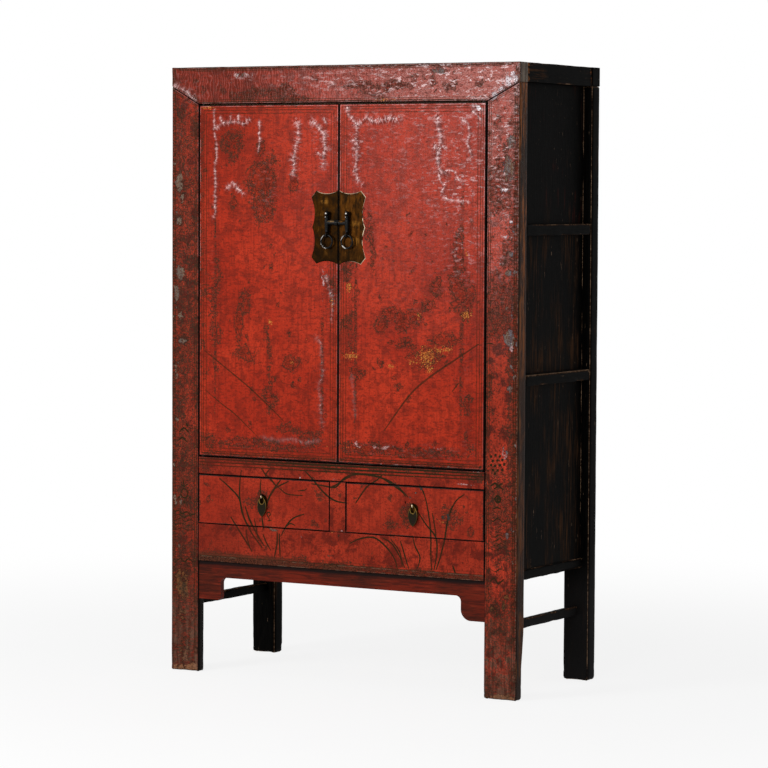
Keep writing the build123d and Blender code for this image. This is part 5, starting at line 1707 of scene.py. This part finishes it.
@dataclass
class FrontFrame(Part):
    """The red posts, rails and apron of the front."""

    grid: float = 3.0
    arris: float = 3.0
    rail_grid: float = 1.8
    straight_below: float = 1500.0
    foot_thinned: float = 13.0
    thin_from: float = 192.0
    thin_over: float = 102.0
    corner_cut: float = 20.0
    cut_between: Point2 = (322.0, 333.0)
    stop_front: float = 28.4
    stop_slack: float = 0.2

    def build(self) -> None:
        """Builds every board of the front frame."""
        self._posts()
        self._top_rail()
        self._cross_rails()
        self._apron()

    def _posts(self) -> None:
        """The two front posts, mitred at the top and thinner behind at the foot."""
        lay = self.layout
        for side, sign in SIDES.items():
            inner = lay.inner(side)
            outer = sign * lay.half_width
            low_x, high_x = min(inner, outer), max(inner, outer)

            def mitre(points: np.ndarray, inner: float = inner,
                      span: float = high_x - low_x) -> np.ndarray:
                """Cuts the post's top to the mitre and thins its foot from behind.

                Args:
                    points: the board's points.
                    inner: the post's inner side.
                    span: the post's width.

                Returns:
                    The moved points.
                """
                moved = points.copy()
                across = np.abs(points[:, 0] - inner)
                share = np.clip(across / span, 0, 1)
                top = lay.top_rail_bottom + share * (lay.post_top - lay.top_rail_bottom)
                base = self.straight_below
                high = points[:, 2] > base
                moved[high, 2] = base + ((points[high, 2] - base) * (top[high] - base)
                                         / (lay.post_top - base))
                thin = np.clip((self.thin_from - points[:, 2]) / self.thin_over, 0, 1)
                depth = (points[:, 1] - lay.front) / lay.post_depth
                moved[:, 1] -= self.foot_thinned * thin * depth
                near = np.clip(1 - across / self.corner_cut, 0, 1)
                low = 1 - smooth(points[:, 2], *self.cut_between)
                limit = lay.front + lay.post_depth - self.corner_cut * near
                cut = np.minimum(moved[:, 1], limit + (1 - low) * self.corner_cut)
                moved[:, 1] = np.where(low > 0, cut, moved[:, 1])
                return moved

            outward, inward = ("+x", "-x") if sign > 0 else ("-x", "+x")
            fine = {"-y": self.grid, outward: 5.0, inward: 12.0, "+y": 20.0}
            board = Board((low_x, lay.front, 0),
                          (high_x, lay.front + lay.post_depth, lay.post_top),
                          Way.UP, self.grid, self.arris, fine, warp=mitre)
            self.lacquer(board, Weather(11 + sign, 0.3, 1.5, 5.0, RUBBED_ALL_OVER),
                         f"worn_{side}_post", self.finishes.post, node=f"front_{side}_post")

    def _top_rail(self) -> None:
        """The front top rail, whose ends lie on the posts."""
        lay = self.layout

        def mitre(points: np.ndarray) -> np.ndarray:
            """Lifts the rail's underside along the mitres.

            Args:
                points: the board's points.

            Returns:
                The moved points.
            """
            moved = points.copy()
            x = points[:, 0]
            beyond = np.maximum((lay.left_inner - x) / (lay.half_width + lay.left_inner),
                                (x - lay.right_inner) / (lay.half_width - lay.right_inner))
            rise = lay.post_top - lay.top_rail_bottom
            under = lay.top_rail_bottom + np.clip(beyond, 0, 1) * rise
            share = (lay.height - points[:, 2]) / (lay.height - lay.top_rail_bottom)
            moved[:, 2] = lay.height - share * (lay.height - under)
            return moved

        fine = {"-y": self.grid, "+y": 20, "-z": 16, "+z": 7}
        board = Board((-lay.half_width, lay.front, lay.top_rail_bottom),
                      (lay.half_width, lay.front + lay.post_depth, lay.height), Way.ACROSS,
                      self.grid, self.arris, fine, warp=mitre)
        self.lacquer(board, Weather(21, 0.3, 1.4), "worn_top_rail", self.finishes.top,
                     node="front_top_rail")
        self._door_stop("top_door_stop", 49, (lay.top_rail_bottom - 12, lay.top_rail_bottom + 4))

    def _cross_rails(self) -> None:
        """The middle rail, the divider and the bottom rail."""
        lay = self.layout
        back = lay.front + lay.rail_depth
        grid = self.rail_grid
        for level, (low, high) in (("middle", lay.middle_rail), ("bottom", lay.bottom_rail)):
            board = Board((lay.left_inner, lay.front, low), (lay.right_inner, back, high),
                          Way.ACROSS, grid, 1.2, {"-y": grid, "-z": 22, "+z": 11, "+y": 22})
            self.lacquer(board, Weather(31 + int(low), 0.15, 1.0), f"worn_{level}_rail",
                         self.finishes.rail, node=f"front_{level}_rail")
        rail_top = lay.middle_rail[1]
        self._door_stop("lower_door_stop", lay.rail_depth, (rail_top - 4, rail_top + 12))
        board = Board((lay.divider[0], lay.front, lay.bottom_rail[1]),
                      (lay.divider[1], back, lay.middle_rail[0]), Way.UP, grid, 0.8,
                      {"-y": grid, "+y": 20, "-x": 15, "+x": 15})
        self.lacquer(board, Weather(41, 0.1, 0.5), "worn_divider", self.finishes.rail,
                     node="drawer_divider")

    def _door_stop(self, name: str, depth: float, upward: Point2) -> None:
        """Lays a strip behind the doors' ends.

        Args:
            name: the strip's name.
            depth: how far behind the front plane its back is.
            upward: its lower and upper limits.
        """
        lay = self.layout
        strip = Board((lay.left_inner + self.stop_slack, lay.front + self.stop_front, upward[0]),
                      (lay.right_inner - self.stop_slack, lay.front + depth, upward[1]),
                      Way.ACROSS, 60, 1.0)
        self.place(strip.surface().mesh(name), self.finishes.wood[Grain.X], "carcass", Slot.BARE)

    def _apron(self) -> None:
        """The apron and the spandrels keep their solids' shapes."""
        for name in ("front_apron", "left_spandrel", "right_spandrel"):
            self.dress(name, self.finishes.apron)


@dataclass(frozen=True)
class SideRail:
    """One rail of a side: its place, its section and how worn it is."""

    level: str
    top: int
    height: float
    setback: float
    thickness: float
    rubbed: float
    crown: float


@dataclass
class SideFrame(Part):
    """The dark sides, the back and the top."""

    grid: float = 6.0
    face_grid: float = 8.0
    rails: tuple[SideRail, ...] = (
        SideRail("top", 1800, 56, 2, 42, 1.0, 0.0), SideRail("upper", 1345, 33, 2, 42, 1.6, 0.5),
        SideRail("lower", 920, 33, 2, 42, 1.6, 2.2), SideRail("bottom", 365, 32, 20, 32, 3.2, 0.4))
    stretcher_setback: float = 34.0
    stretcher_thickness: float = 22.0
    stretcher_span: Point2 = (192.0, 220.0)

    def build(self) -> None:
        """Builds the rear posts and every rail, and dresses the boards."""
        lay = self.layout
        back = lay.half_depth
        post_front = back - lay.post_depth
        for side, sign in SIDES.items():
            across = sorted((sign * lay.rear_inner, sign * lay.half_width))
            self._board(f"worn_rear_{side}_post", f"rear_{side}_post", Way.UP, across,
                        (post_front, back), (0, lay.post_top), self.finishes.upright,
                        Weather(51 + sign, 0.5, 2.0, 9.0, RUBBED_ALL_OVER), 3.0)
            for rail in self.rails:
                finish = self.finishes.end_worn if rail.level == "top" else self.finishes.inward
                weather = Weather(61 + sign + rail.top, 0.4, rail.rubbed, shine=0.6,
                                  reach=5 + 2.5 * rail.crown, crown=rail.crown)
                self._board(f"worn_{side}_{rail.level}_rail", f"{side}_{rail.level}_rail", Way.BACK,
                            self._across(sign, rail.setback, rail.thickness),
                            (lay.front + lay.post_depth, post_front),
                            (rail.top - rail.height, rail.top), finish, weather, 1.6)
            self._board(f"worn_{side}_stretcher", "leg_stretchers" if sign < 0 else "", Way.BACK,
                        self._across(sign, self.stretcher_setback, self.stretcher_thickness),
                        (lay.front + lay.post_depth, post_front), self.stretcher_span,
                        self.finishes.inward,
                        Weather(81 + sign, 0.4, 1.8, reach=7.0, crown=0.7), 2.4)
            self.dress(f"{side}_upper_panel", self.finishes.side_board)
            for name in ("middle", "lower"):
                self.dress(f"{side}_{name}_panel", self.finishes.worn_board)
        self._board("worn_rear_top_rail", "rear_top_rail", Way.ACROSS,
                    (-lay.half_width, lay.half_width), (post_front, back),
                    (lay.post_top, lay.height), self.finishes.crosswise, Weather(91, 0.4, 2.0), 3.0)
        for name in ("rear_rails", "rear_bottom_rail", "rear_panels", "top_panel"):
            self.dress(name, self.finishes.back_board)

    def _across(self, sign: int, setback: float, thickness: float) -> list[float]:
        """The least and the greatest x of a rail on one side."""
        outer = sign * (self.layout.half_width - setback)
        return sorted((outer, outer - sign * thickness))

    def _board(self, name: str, node: str, way: Way, x: Point2, y: Point2, z: Point2,
               material: Material, weather: Weather, rounding: float) -> None:
        """Builds one worn board in place of its node.

        Args:
            name: the new piece's name.
            node: the node that it replaces, or nothing.
            way: the axis it runs along.
            x, y, z: its limits on each axis.
            material: its finish.
            weather: how worn it is.
            rounding: the rounding of its arrises.
        """
        faces = ("-x", "+x", "-y", "+y", "-z", "+z")
        low, high = zip(x, y, z)
        board = Board(low, high, way, self.grid, rounding, dict.fromkeys(faces, self.face_grid))
        surface = board.surface()
        weather.apply(surface)
        self.place(surface.mesh(name), material, "carcass", Slot.DARK, (node,) if node else ())


@dataclass
class Doors(Part):
    """The two doors: lacquer over the whole front of each and bare wood behind."""

    gap: float = 3.0
    grid: float = 2.5
    skin: float = 0.9
    sunk: float = 3.2
    over: float = 0.15

    def build(self) -> None:
        """Builds both doors' lacquer and dresses their wood."""
        lay = self.layout
        for side, sign in SIDES.items():
            hinge = lay.inner(side) - sign * self.gap
            free = lay.meeting + sign * self.gap / 2
            low = (min(hinge, free) - self.over, lay.front - self.skin,
                   lay.middle_rail[1] + self.gap - self.over)
            high = (max(hinge, free) + self.over, lay.front + self.sunk,
                    lay.top_rail_bottom - self.gap + self.over)
            board = Board(low, high, Way.UP, self.grid, 1.4,
                          {"-y": self.grid, "+y": 120, "-x": 4, "+x": 4})
            self.lacquer(board, Weather(101 + sign, 0.12, 0.7), f"{side}_door_lacquer",
                         self.finishes.door, f"{side}_door", passing=lay.swing_reach)
            for name in ("hinge_stile", "meeting_stile"):
                self.dress(f"{side}_door_{name}", self.finishes.wood[Grain.Z])
            self.dress(f"{side}_door_crosspieces", self.finishes.wood[Grain.X])
            self.dress(f"{side}_door_panel", self.finishes.wood[Grain.Z])


@dataclass
class Drawers(Part):
    """The two drawers: lacquer in front and plain wood behind."""

    gap: float = 2.5
    grid: float = 1.8
    skin: float = 0.5
    sunk: float = 4.0
    over: float = 0.1

    def build(self) -> None:
        """Builds the drawers' lacquer and dresses their boxes."""
        lay = self.layout
        for side, start, end in (("left", lay.left_inner, lay.divider[0]),
                                 ("right", lay.divider[1], lay.right_inner)):
            low = (start + self.gap - self.over, lay.front - self.skin,
                   lay.bottom_rail[1] + self.gap - self.over)
            high = (end - self.gap + self.over, lay.front + self.sunk,
                    lay.middle_rail[0] - self.gap + self.over)
            board = Board(low, high, Way.ACROSS, self.grid, 1.0,
                          {"-y": self.grid, "+y": 60, "-z": 4, "+z": 4})
            self.lacquer(board, Weather(111 + len(side), 0.1, 0.5), f"{side}_drawer_lacquer",
                         self.finishes.drawer, f"{side}_drawer")
            self.dress(f"{side}_drawer_front", self.finishes.wood[Grain.X])
            self.dress(f"{side}_drawer_box", self.finishes.wood[Grain.LEVEL])


@dataclass
class SheetForm:
    """A flat metal form between an outer and an inner outline, with rounded rims."""

    outer: np.ndarray
    inner: np.ndarray
    middle: Point2
    back: float
    front: float
    rounding: float
    rings: int = 22
    spokes: int = 300
    border: float = 0.0
    hammered: float = 0.15
    seed: int = 5

    def _reach(self, outline: np.ndarray) -> np.ndarray:
        """The outline's distance from the middle on each spoke.

        Args:
            outline: its corners, two columns.

        Returns:
            One distance per spoke.
        """
        offset = outline - np.array(self.middle)
        offset = offset[np.argsort(np.arctan2(offset[:, 1], offset[:, 0]))]
        ahead = np.roll(offset, -1, axis=0)
        offset = np.concatenate([offset + share * (ahead - offset) for share in np.arange(24) / 24])
        turn = np.arctan2(offset[:, 1], offset[:, 0])
        order = np.argsort(turn)
        turn, offset = turn[order], offset[order]
        turn = np.concatenate([turn - 2 * np.pi, turn, turn + 2 * np.pi])
        x = np.concatenate([offset[:, 0]] * 3)
        z = np.concatenate([offset[:, 1]] * 3)
        spokes = np.linspace(-np.pi, np.pi, self.spokes, endpoint=False)
        return np.hypot(np.interp(spokes, turn, x), np.interp(spokes, turn, z))

    def surface(self) -> Surface:
        """Makes the closed form.

        Returns:
            The surface, with "rim", each point's distance to the nearer outline.
        """
        spokes = np.linspace(-np.pi, np.pi, self.spokes, endpoint=False)
        outer = self._reach(self.outer)
        inner = self._reach(self.inner) if len(self.inner) else np.full(self.spokes, 0.3)
        share = np.concatenate([[0, 0.02, 0.05], np.linspace(0.1, 0.9, self.rings),
                                [0.95, 0.975, 0.99, 1.0]])
        reach = inner[None, :] + share[:, None] * (outer - inner)[None, :]
        x = self.middle[0] + reach * np.cos(spokes)
        z = self.middle[1] + reach * np.sin(spokes)
        rim = np.minimum(outer[None, :] - reach, reach - inner[None, :] if len(self.inner) else 1e3)
        near = np.clip(self.rounding - rim, 0, self.rounding)
        drop = self.rounding - np.sqrt(self.rounding**2 - near**2)
        flat = np.stack([x.ravel(), np.zeros(x.size), z.ravel()], axis=1)
        beaten = self.hammered * cloud(flat, 14, self.seed, 2).reshape(x.shape) * smooth(rim, 0, 3)
        raised = self.border * np.exp(-((rim - 1.8) / 1.2) ** 2)
        face = np.minimum(self.front + drop + beaten - raised, self.back - 0.05)
        points = np.concatenate([np.stack([x, face, z], axis=2),
                                 np.stack([x, np.full(x.shape, self.back), z], axis=2)[::-1]])
        rims = np.concatenate([rim, rim[::-1]])
        faces = ring_faces(len(points), self.spokes, shut=len(self.inner) > 0)
        flat = points.reshape(-1, 3)
        return Surface(flat, np.zeros_like(flat), faces, {"rim": rims.ravel()})


@dataclass
class Turning:
    """A turned form: a row of places along an axis, each with its radius."""

    start: Point3
    way: Way
    profile: tuple[Point2, ...]
    sides: int = 28

    def surface(self) -> Surface:
        """Makes the closed form.

        Returns:
            The surface.
        """
        along = self.way.value
        first, second = [axis for axis in range(3) if axis != along]
        turn = np.linspace(0, 2 * np.pi, self.sides, endpoint=False)
        fine = np.array(bent(self.profile, 4))
        points = np.zeros((len(fine), self.sides, 3))
        points[:, :, along] = fine[:, :1]
        radius = np.maximum(fine[:, 1:2], 0.05)
        points[:, :, first] = self.start[first] + radius * np.cos(turn)
        points[:, :, second] = self.start[second] + radius * np.sin(turn)
        flat = points.reshape(-1, 3)
        return Surface(flat, np.zeros_like(flat), ring_faces(len(fine), self.sides))


@dataclass
class Metalwork(Part):
    """The lock plates, staples, rings and the drawers' drops."""

    staple_offset: float = 34.0
    staple_depth: float = -262.0
    arm_height: float = 1344.0
    arm_middle: float = 1347.0
    ball_height: float = 1371.0
    plate_middle: float = 1331.0
    plate_face: float = -253.0
    plate_back: float = -251.2
    plate_front: float = -253.3
    hole_reach: float = 8.0
    rim_round: float = 1.3
    window_height: float = 525.0
    window_half: Point2 = (8.5, 12.5)

    def build(self) -> None:
        """Builds the lock and the pulls."""
        for side, sign in SIDES.items():
            self._lock_plate(side, sign)
            self._staple(side, sign)
            self.dress(f"{side}_lock_staple", self.finishes.iron)
            self.dress(f"{side}_door_ring", self.finishes.iron)
            self._drop(side)
            self.dress(f"{side}_drawer_pull_plate", self.finishes.brass)

    def _outline(self, name: str, depth: float) -> np.ndarray:
        """The corners of a node's face at one depth.

        Args:
            name: the node.
            depth: the face's y in millimetres.

        Returns:
            The corners' x and z in millimetres.
        """
        corners = np.array([tuple(vertex.co) for vertex in self.nodes[name].data.vertices]) / MM
        flat = corners[np.abs(corners[:, 1] - depth) < 0.05]
        return np.unique(np.round(flat[:, (0, 2)], 3), axis=0)

    def _lock_plate(self, side: str, sign: int) -> None:
        """One half of the lock plate, with a rounded rim.

        Args:
            side: left or right.
            sign: -1 for left, 1 for right.
        """
        name = f"{side}_lock_plate"
        staple_x = self.layout.meeting + sign * self.staple_offset
        outline = self._outline(name, self.plate_face)
        from_hole = np.hypot(outline[:, 0] - staple_x, outline[:, 1] - self.arm_height)
        outline = outline[from_hole > self.hole_reach]
        middle = (float(outline[:, 0].min() + outline[:, 0].max()) / 2, self.plate_middle)
        form = SheetForm(outline, np.zeros((0, 2)), middle, self.plate_back, self.plate_front,
                         self.rim_round, seed=7 + sign)
        self._finish(form.surface(), f"{side}_lock_brass", self.finishes.lock_brass,
                     f"{side}_door", Slot.BRASS, (name,))

    def _drop(self, side: str) -> None:
        """A drawer's leaf-shaped drop, with its window and rounded rims.

        Args:
            side: left or right.
        """
        name = f"{side}_drawer_drop"
        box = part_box(name)
        front = box[0][1] / MM
        outline = self._outline(name, front)
        centre = (box[0][0] + box[1][0]) / 2 / MM
        aside = np.abs(outline[:, 0] - centre)
        offset = np.hypot(aside, outline[:, 1] - self.window_height)
        in_window = (aside < self.window_half[0]) & (offset < self.window_half[1])
        inner = outline[in_window]
        middle = (centre, float(inner[:, 1].min() + inner[:, 1].max()) / 2)
        form = SheetForm(outline[~in_window], inner, middle, box[1][1] / MM, front - 0.2,
                         self.rim_round, rings=10, spokes=96, border=0.35, hammered=0.1)
        self._finish(form.surface(), f"{side}_drop_brass", self.finishes.pull_brass,
                     f"{side}_drop", Slot.BRASS, (name,))

    def _staple(self, side: str, sign: int) -> None:
        """A staple's turned stem with its ball, and its half of the pin.

        Args:
            side: left or right.
            sign: -1 for left, 1 for right.
        """
        staple_x = self.layout.meeting + sign * self.staple_offset
        ball = self.ball_height
        stem = ((1315.5, 0.05), (1315.6, 2.6), (1318, 3.8), (1324, 5.0), (1332, 5.8), (1342, 6.4),
                (1350, 6.5), (1355, 5.4), (1357.5, 4.4), (1359.5, 5.6), (1362, 6.2), (1364.2, 5.0),
                (1365.4, 3.8), (1366.2, 4.6), (ball - 3, 6.2), (ball, 6.8), (ball + 3, 6.2),
                (ball + 5.6, 4.2), (ball + 6.9, 1.6), (ball + 7.1, 0.05))
        turned = Turning((staple_x, self.staple_depth, 0), Way.UP, stem).surface()
        self._finish(turned, f"{side}_staple_stem", self.finishes.iron, f"{side}_door", Slot.IRON)
        near = self.layout.meeting + sign * 0.35
        span = staple_x - near
        boss = ((0, 0.05), (0.004, 6.6), (0.1, 6.8), (0.17, 5.8), (0.23, 4.0), (0.24, 0.05))
        spool = ((0.2, 0.05), (0.201, 4.2), (0.34, 5.0), (0.5, 5.8), (0.66, 5.0), (0.8, 3.9),
                 (0.9, 4.4), (1.0, 4.4), (1.001, 0.05))
        pin = self.finishes.left_pin if sign < 0 else self.finishes.right_pin
        for part, profile, finish in (("boss", boss, self.finishes.iron), ("spool", spool, pin)):
            arm = tuple((near + span * share, radius) for share, radius in profile)
            arm = arm[::-1] if span < 0 else arm
            turned = Turning((0, self.staple_depth, self.arm_middle), Way.ACROSS, arm).surface()
            self._finish(turned, f"{side}_lock_{part}", finish, f"{side}_door", Slot.IRON)

    def _finish(self, surface: Surface, name: str, material: Material, body: str, slot: Slot,
                stands_for: tuple[str, ...] = ()) -> None:
        """Makes a metal piece and turns its faces outwards.

        Args:
            surface: its form.
            name: its name.
            material: its finish.
            body: the body that it rides on.
            slot: passed on to place, which doesn't use it.
            stands_for: the nodes that it replaces.
        """
        made = surface.mesh(name)
        work = bmesh.new()
        work.from_mesh(made.data)
        bmesh.ops.recalc_face_normals(work, faces=work.faces)
        work.to_mesh(made.data)
        work.free()
        self.place(made, material, body, slot, stands_for)


@dataclass
class Inside(Part):
    """The shelves, floors and runners, in plain wood."""

    def build(self) -> None:
        """Dresses the boards of the inside."""
        for name in ("upper_shelf", "lower_shelf", "cupboard_floor", "bottom_board"):
            self.dress(name, self.finishes.wood[Grain.X])
        for name in ("floor_bearers", "drawer_runners", "top_panel_battens"):
            self.dress(name, self.finishes.wood[Grain.Y])


# ---- The studio --------------------
@dataclass
class Studio:
    """The camera, a pale floor, the soft lamps and the white surroundings."""

    camera_at: Point3 = (4803.1, -8243.0, 1428.8)
    yaw: float = 30.207
    pitch: float = 3.378
    roll: float = 0.286
    lens: float = 151.07
    ambient: float = 0.42
    floor_reach: float = 40.0

    def build(self) -> None:
        """Builds the whole studio."""
        self._camera()
        self._floor()
        self._world()
        self._lamp("key", (-1500, -3600, 2300), (0, -200, 1000), 1400, 78)
        self._lamp("fill", (1300, -5600, 1900), (0, 0, 900), 2400, 70)

    def _camera(self) -> None:
        """Sets the camera where the eye is."""
        yaw, pitch, roll = (math.radians(angle) for angle in (self.yaw, self.pitch, self.roll))
        ahead = Vector((-math.sin(yaw) * math.cos(pitch), math.cos(yaw) * math.cos(pitch),
                        -math.sin(pitch)))
        level = Vector((math.cos(yaw), math.sin(yaw), 0))
        above = level.cross(ahead)
        right = math.cos(roll) * level + math.sin(roll) * above
        up = -math.sin(roll) * level + math.cos(roll) * above
        data = bpy.data.cameras.new("camera")
        data.lens = self.lens
        data.sensor_width = 36
        data.clip_end = 100
        camera = bpy.data.objects.new("camera", data)
        turn = Matrix((right, up, -ahead)).transposed().to_4x4()
        camera.matrix_world = Matrix.Translation(Vector(self.camera_at) * MM) @ turn
        bpy.context.scene.collection.objects.link(camera)
        bpy.context.scene.camera = camera

    def _floor(self) -> None:
        """Lays the pale floor, which keeps the cabinet's shadow."""
        data = bpy.data.meshes.new("floor")
        reach = self.floor_reach
        corners = [(x * reach, y * reach, 0) for x, y in ((-1, -1), (1, -1), (1, 1), (-1, 1))]
        data.from_pydata(corners, [], [(0, 1, 2, 3)])
        floor = bpy.data.objects.new("floor", data)
        bpy.context.scene.collection.objects.link(floor)
        recipe = Recipe("pale_floor")
        seen = self._seen(recipe)
        grain = recipe.noise(600, 3)
        colour = recipe.mix(grain, linear(238, 238, 238), linear(242, 242, 242))
        material = recipe.finish(Base_Color=colour, Roughness=0.9, Specular_IOR_Level=0.05)
        away = recipe.node("ShaderNodeVectorMath", {"operation": "LENGTH"}, {0: recipe.place},
                           "Value")
        white = 0.84 + 0.16 * away.ramp(900, 3600)
        glow = recipe.node("ShaderNodeEmission", {}, {"Color": (1, 1, 1, 1), "Strength": 1.0})
        paint = Field(recipe, recipe.shader.outputs[0])
        both = recipe.node("ShaderNodeMixShader", {}, {0: seen * white, 1: paint, 2: glow})
        recipe.feed(recipe.output.inputs[0], both)
        data.materials.append(material)

    def _seen(self, recipe: "Recipe") -> Field:
        """One for the rays that show the surroundings: from the camera, mirrored or let through.

        Args:
            recipe: the material or the world being mixed.

        Returns:
            0 or 1 for each ray.
        """
        path = recipe.node("ShaderNodeLightPath", {}, {}, "Is Camera Ray").socket.node
        camera, glossy, through = (Field(recipe, path.outputs[name]) for name in (
            "Is Camera Ray", "Is Glossy Ray", "Is Transmission Ray"))
        return camera.most(glossy).most(through)

    def _world(self) -> None:
        """Surrounds everything with white, of a plainer level as a light."""
        world = bpy.data.worlds.new("studio")
        world.use_nodes = True
        tree = world.node_tree
        tree.nodes.clear()
        recipe = Recipe.__new__(Recipe)
        recipe.tree = tree
        output = tree.nodes.new("ShaderNodeOutputWorld")
        seen = self._seen(recipe)
        strength = seen * (1 - self.ambient) + self.ambient
        glow = recipe.node("ShaderNodeBackground", {},
                           {"Color": (1, 1, 1, 1), "Strength": strength})
        tree.links.new(glow.socket, output.inputs[0])
        bpy.context.scene.world = world

    def _lamp(self, name: str, at: Point3, aim: Point3, size: float, watts: float) -> None:
        """Hangs a soft lamp.

        Args:
            name: the lamp's name.
            at: where it hangs.
            aim: what it faces.
            size: its width.
            watts: its power.
        """
        data = bpy.data.lights.new(name, "AREA")
        data.shape = "DISK"
        data.size = size * MM
        data.energy = watts
        lamp = bpy.data.objects.new(name, data)
        away = (Vector(aim) - Vector(at)).to_track_quat("-Z", "Y")
        lamp.matrix_world = Matrix.Translation(Vector(at) * MM) @ away.to_matrix().to_4x4()
        bpy.context.scene.collection.objects.link(lamp)


def main() -> None:
    """Builds the cabinet and its studio."""
    logging.basicConfig(level=logging.INFO, format="%(message)s")
    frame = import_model()
    bpy.context.scene.view_settings.view_transform = "Standard"
    finishes = Finishes()
    front = Front()
    for part in (FrontFrame, SideFrame, Doors, Drawers, Metalwork, Inside):
        part(frame["nodes"], finishes, front).build()
    Studio().build()


if __name__ == "__main__":
    main()
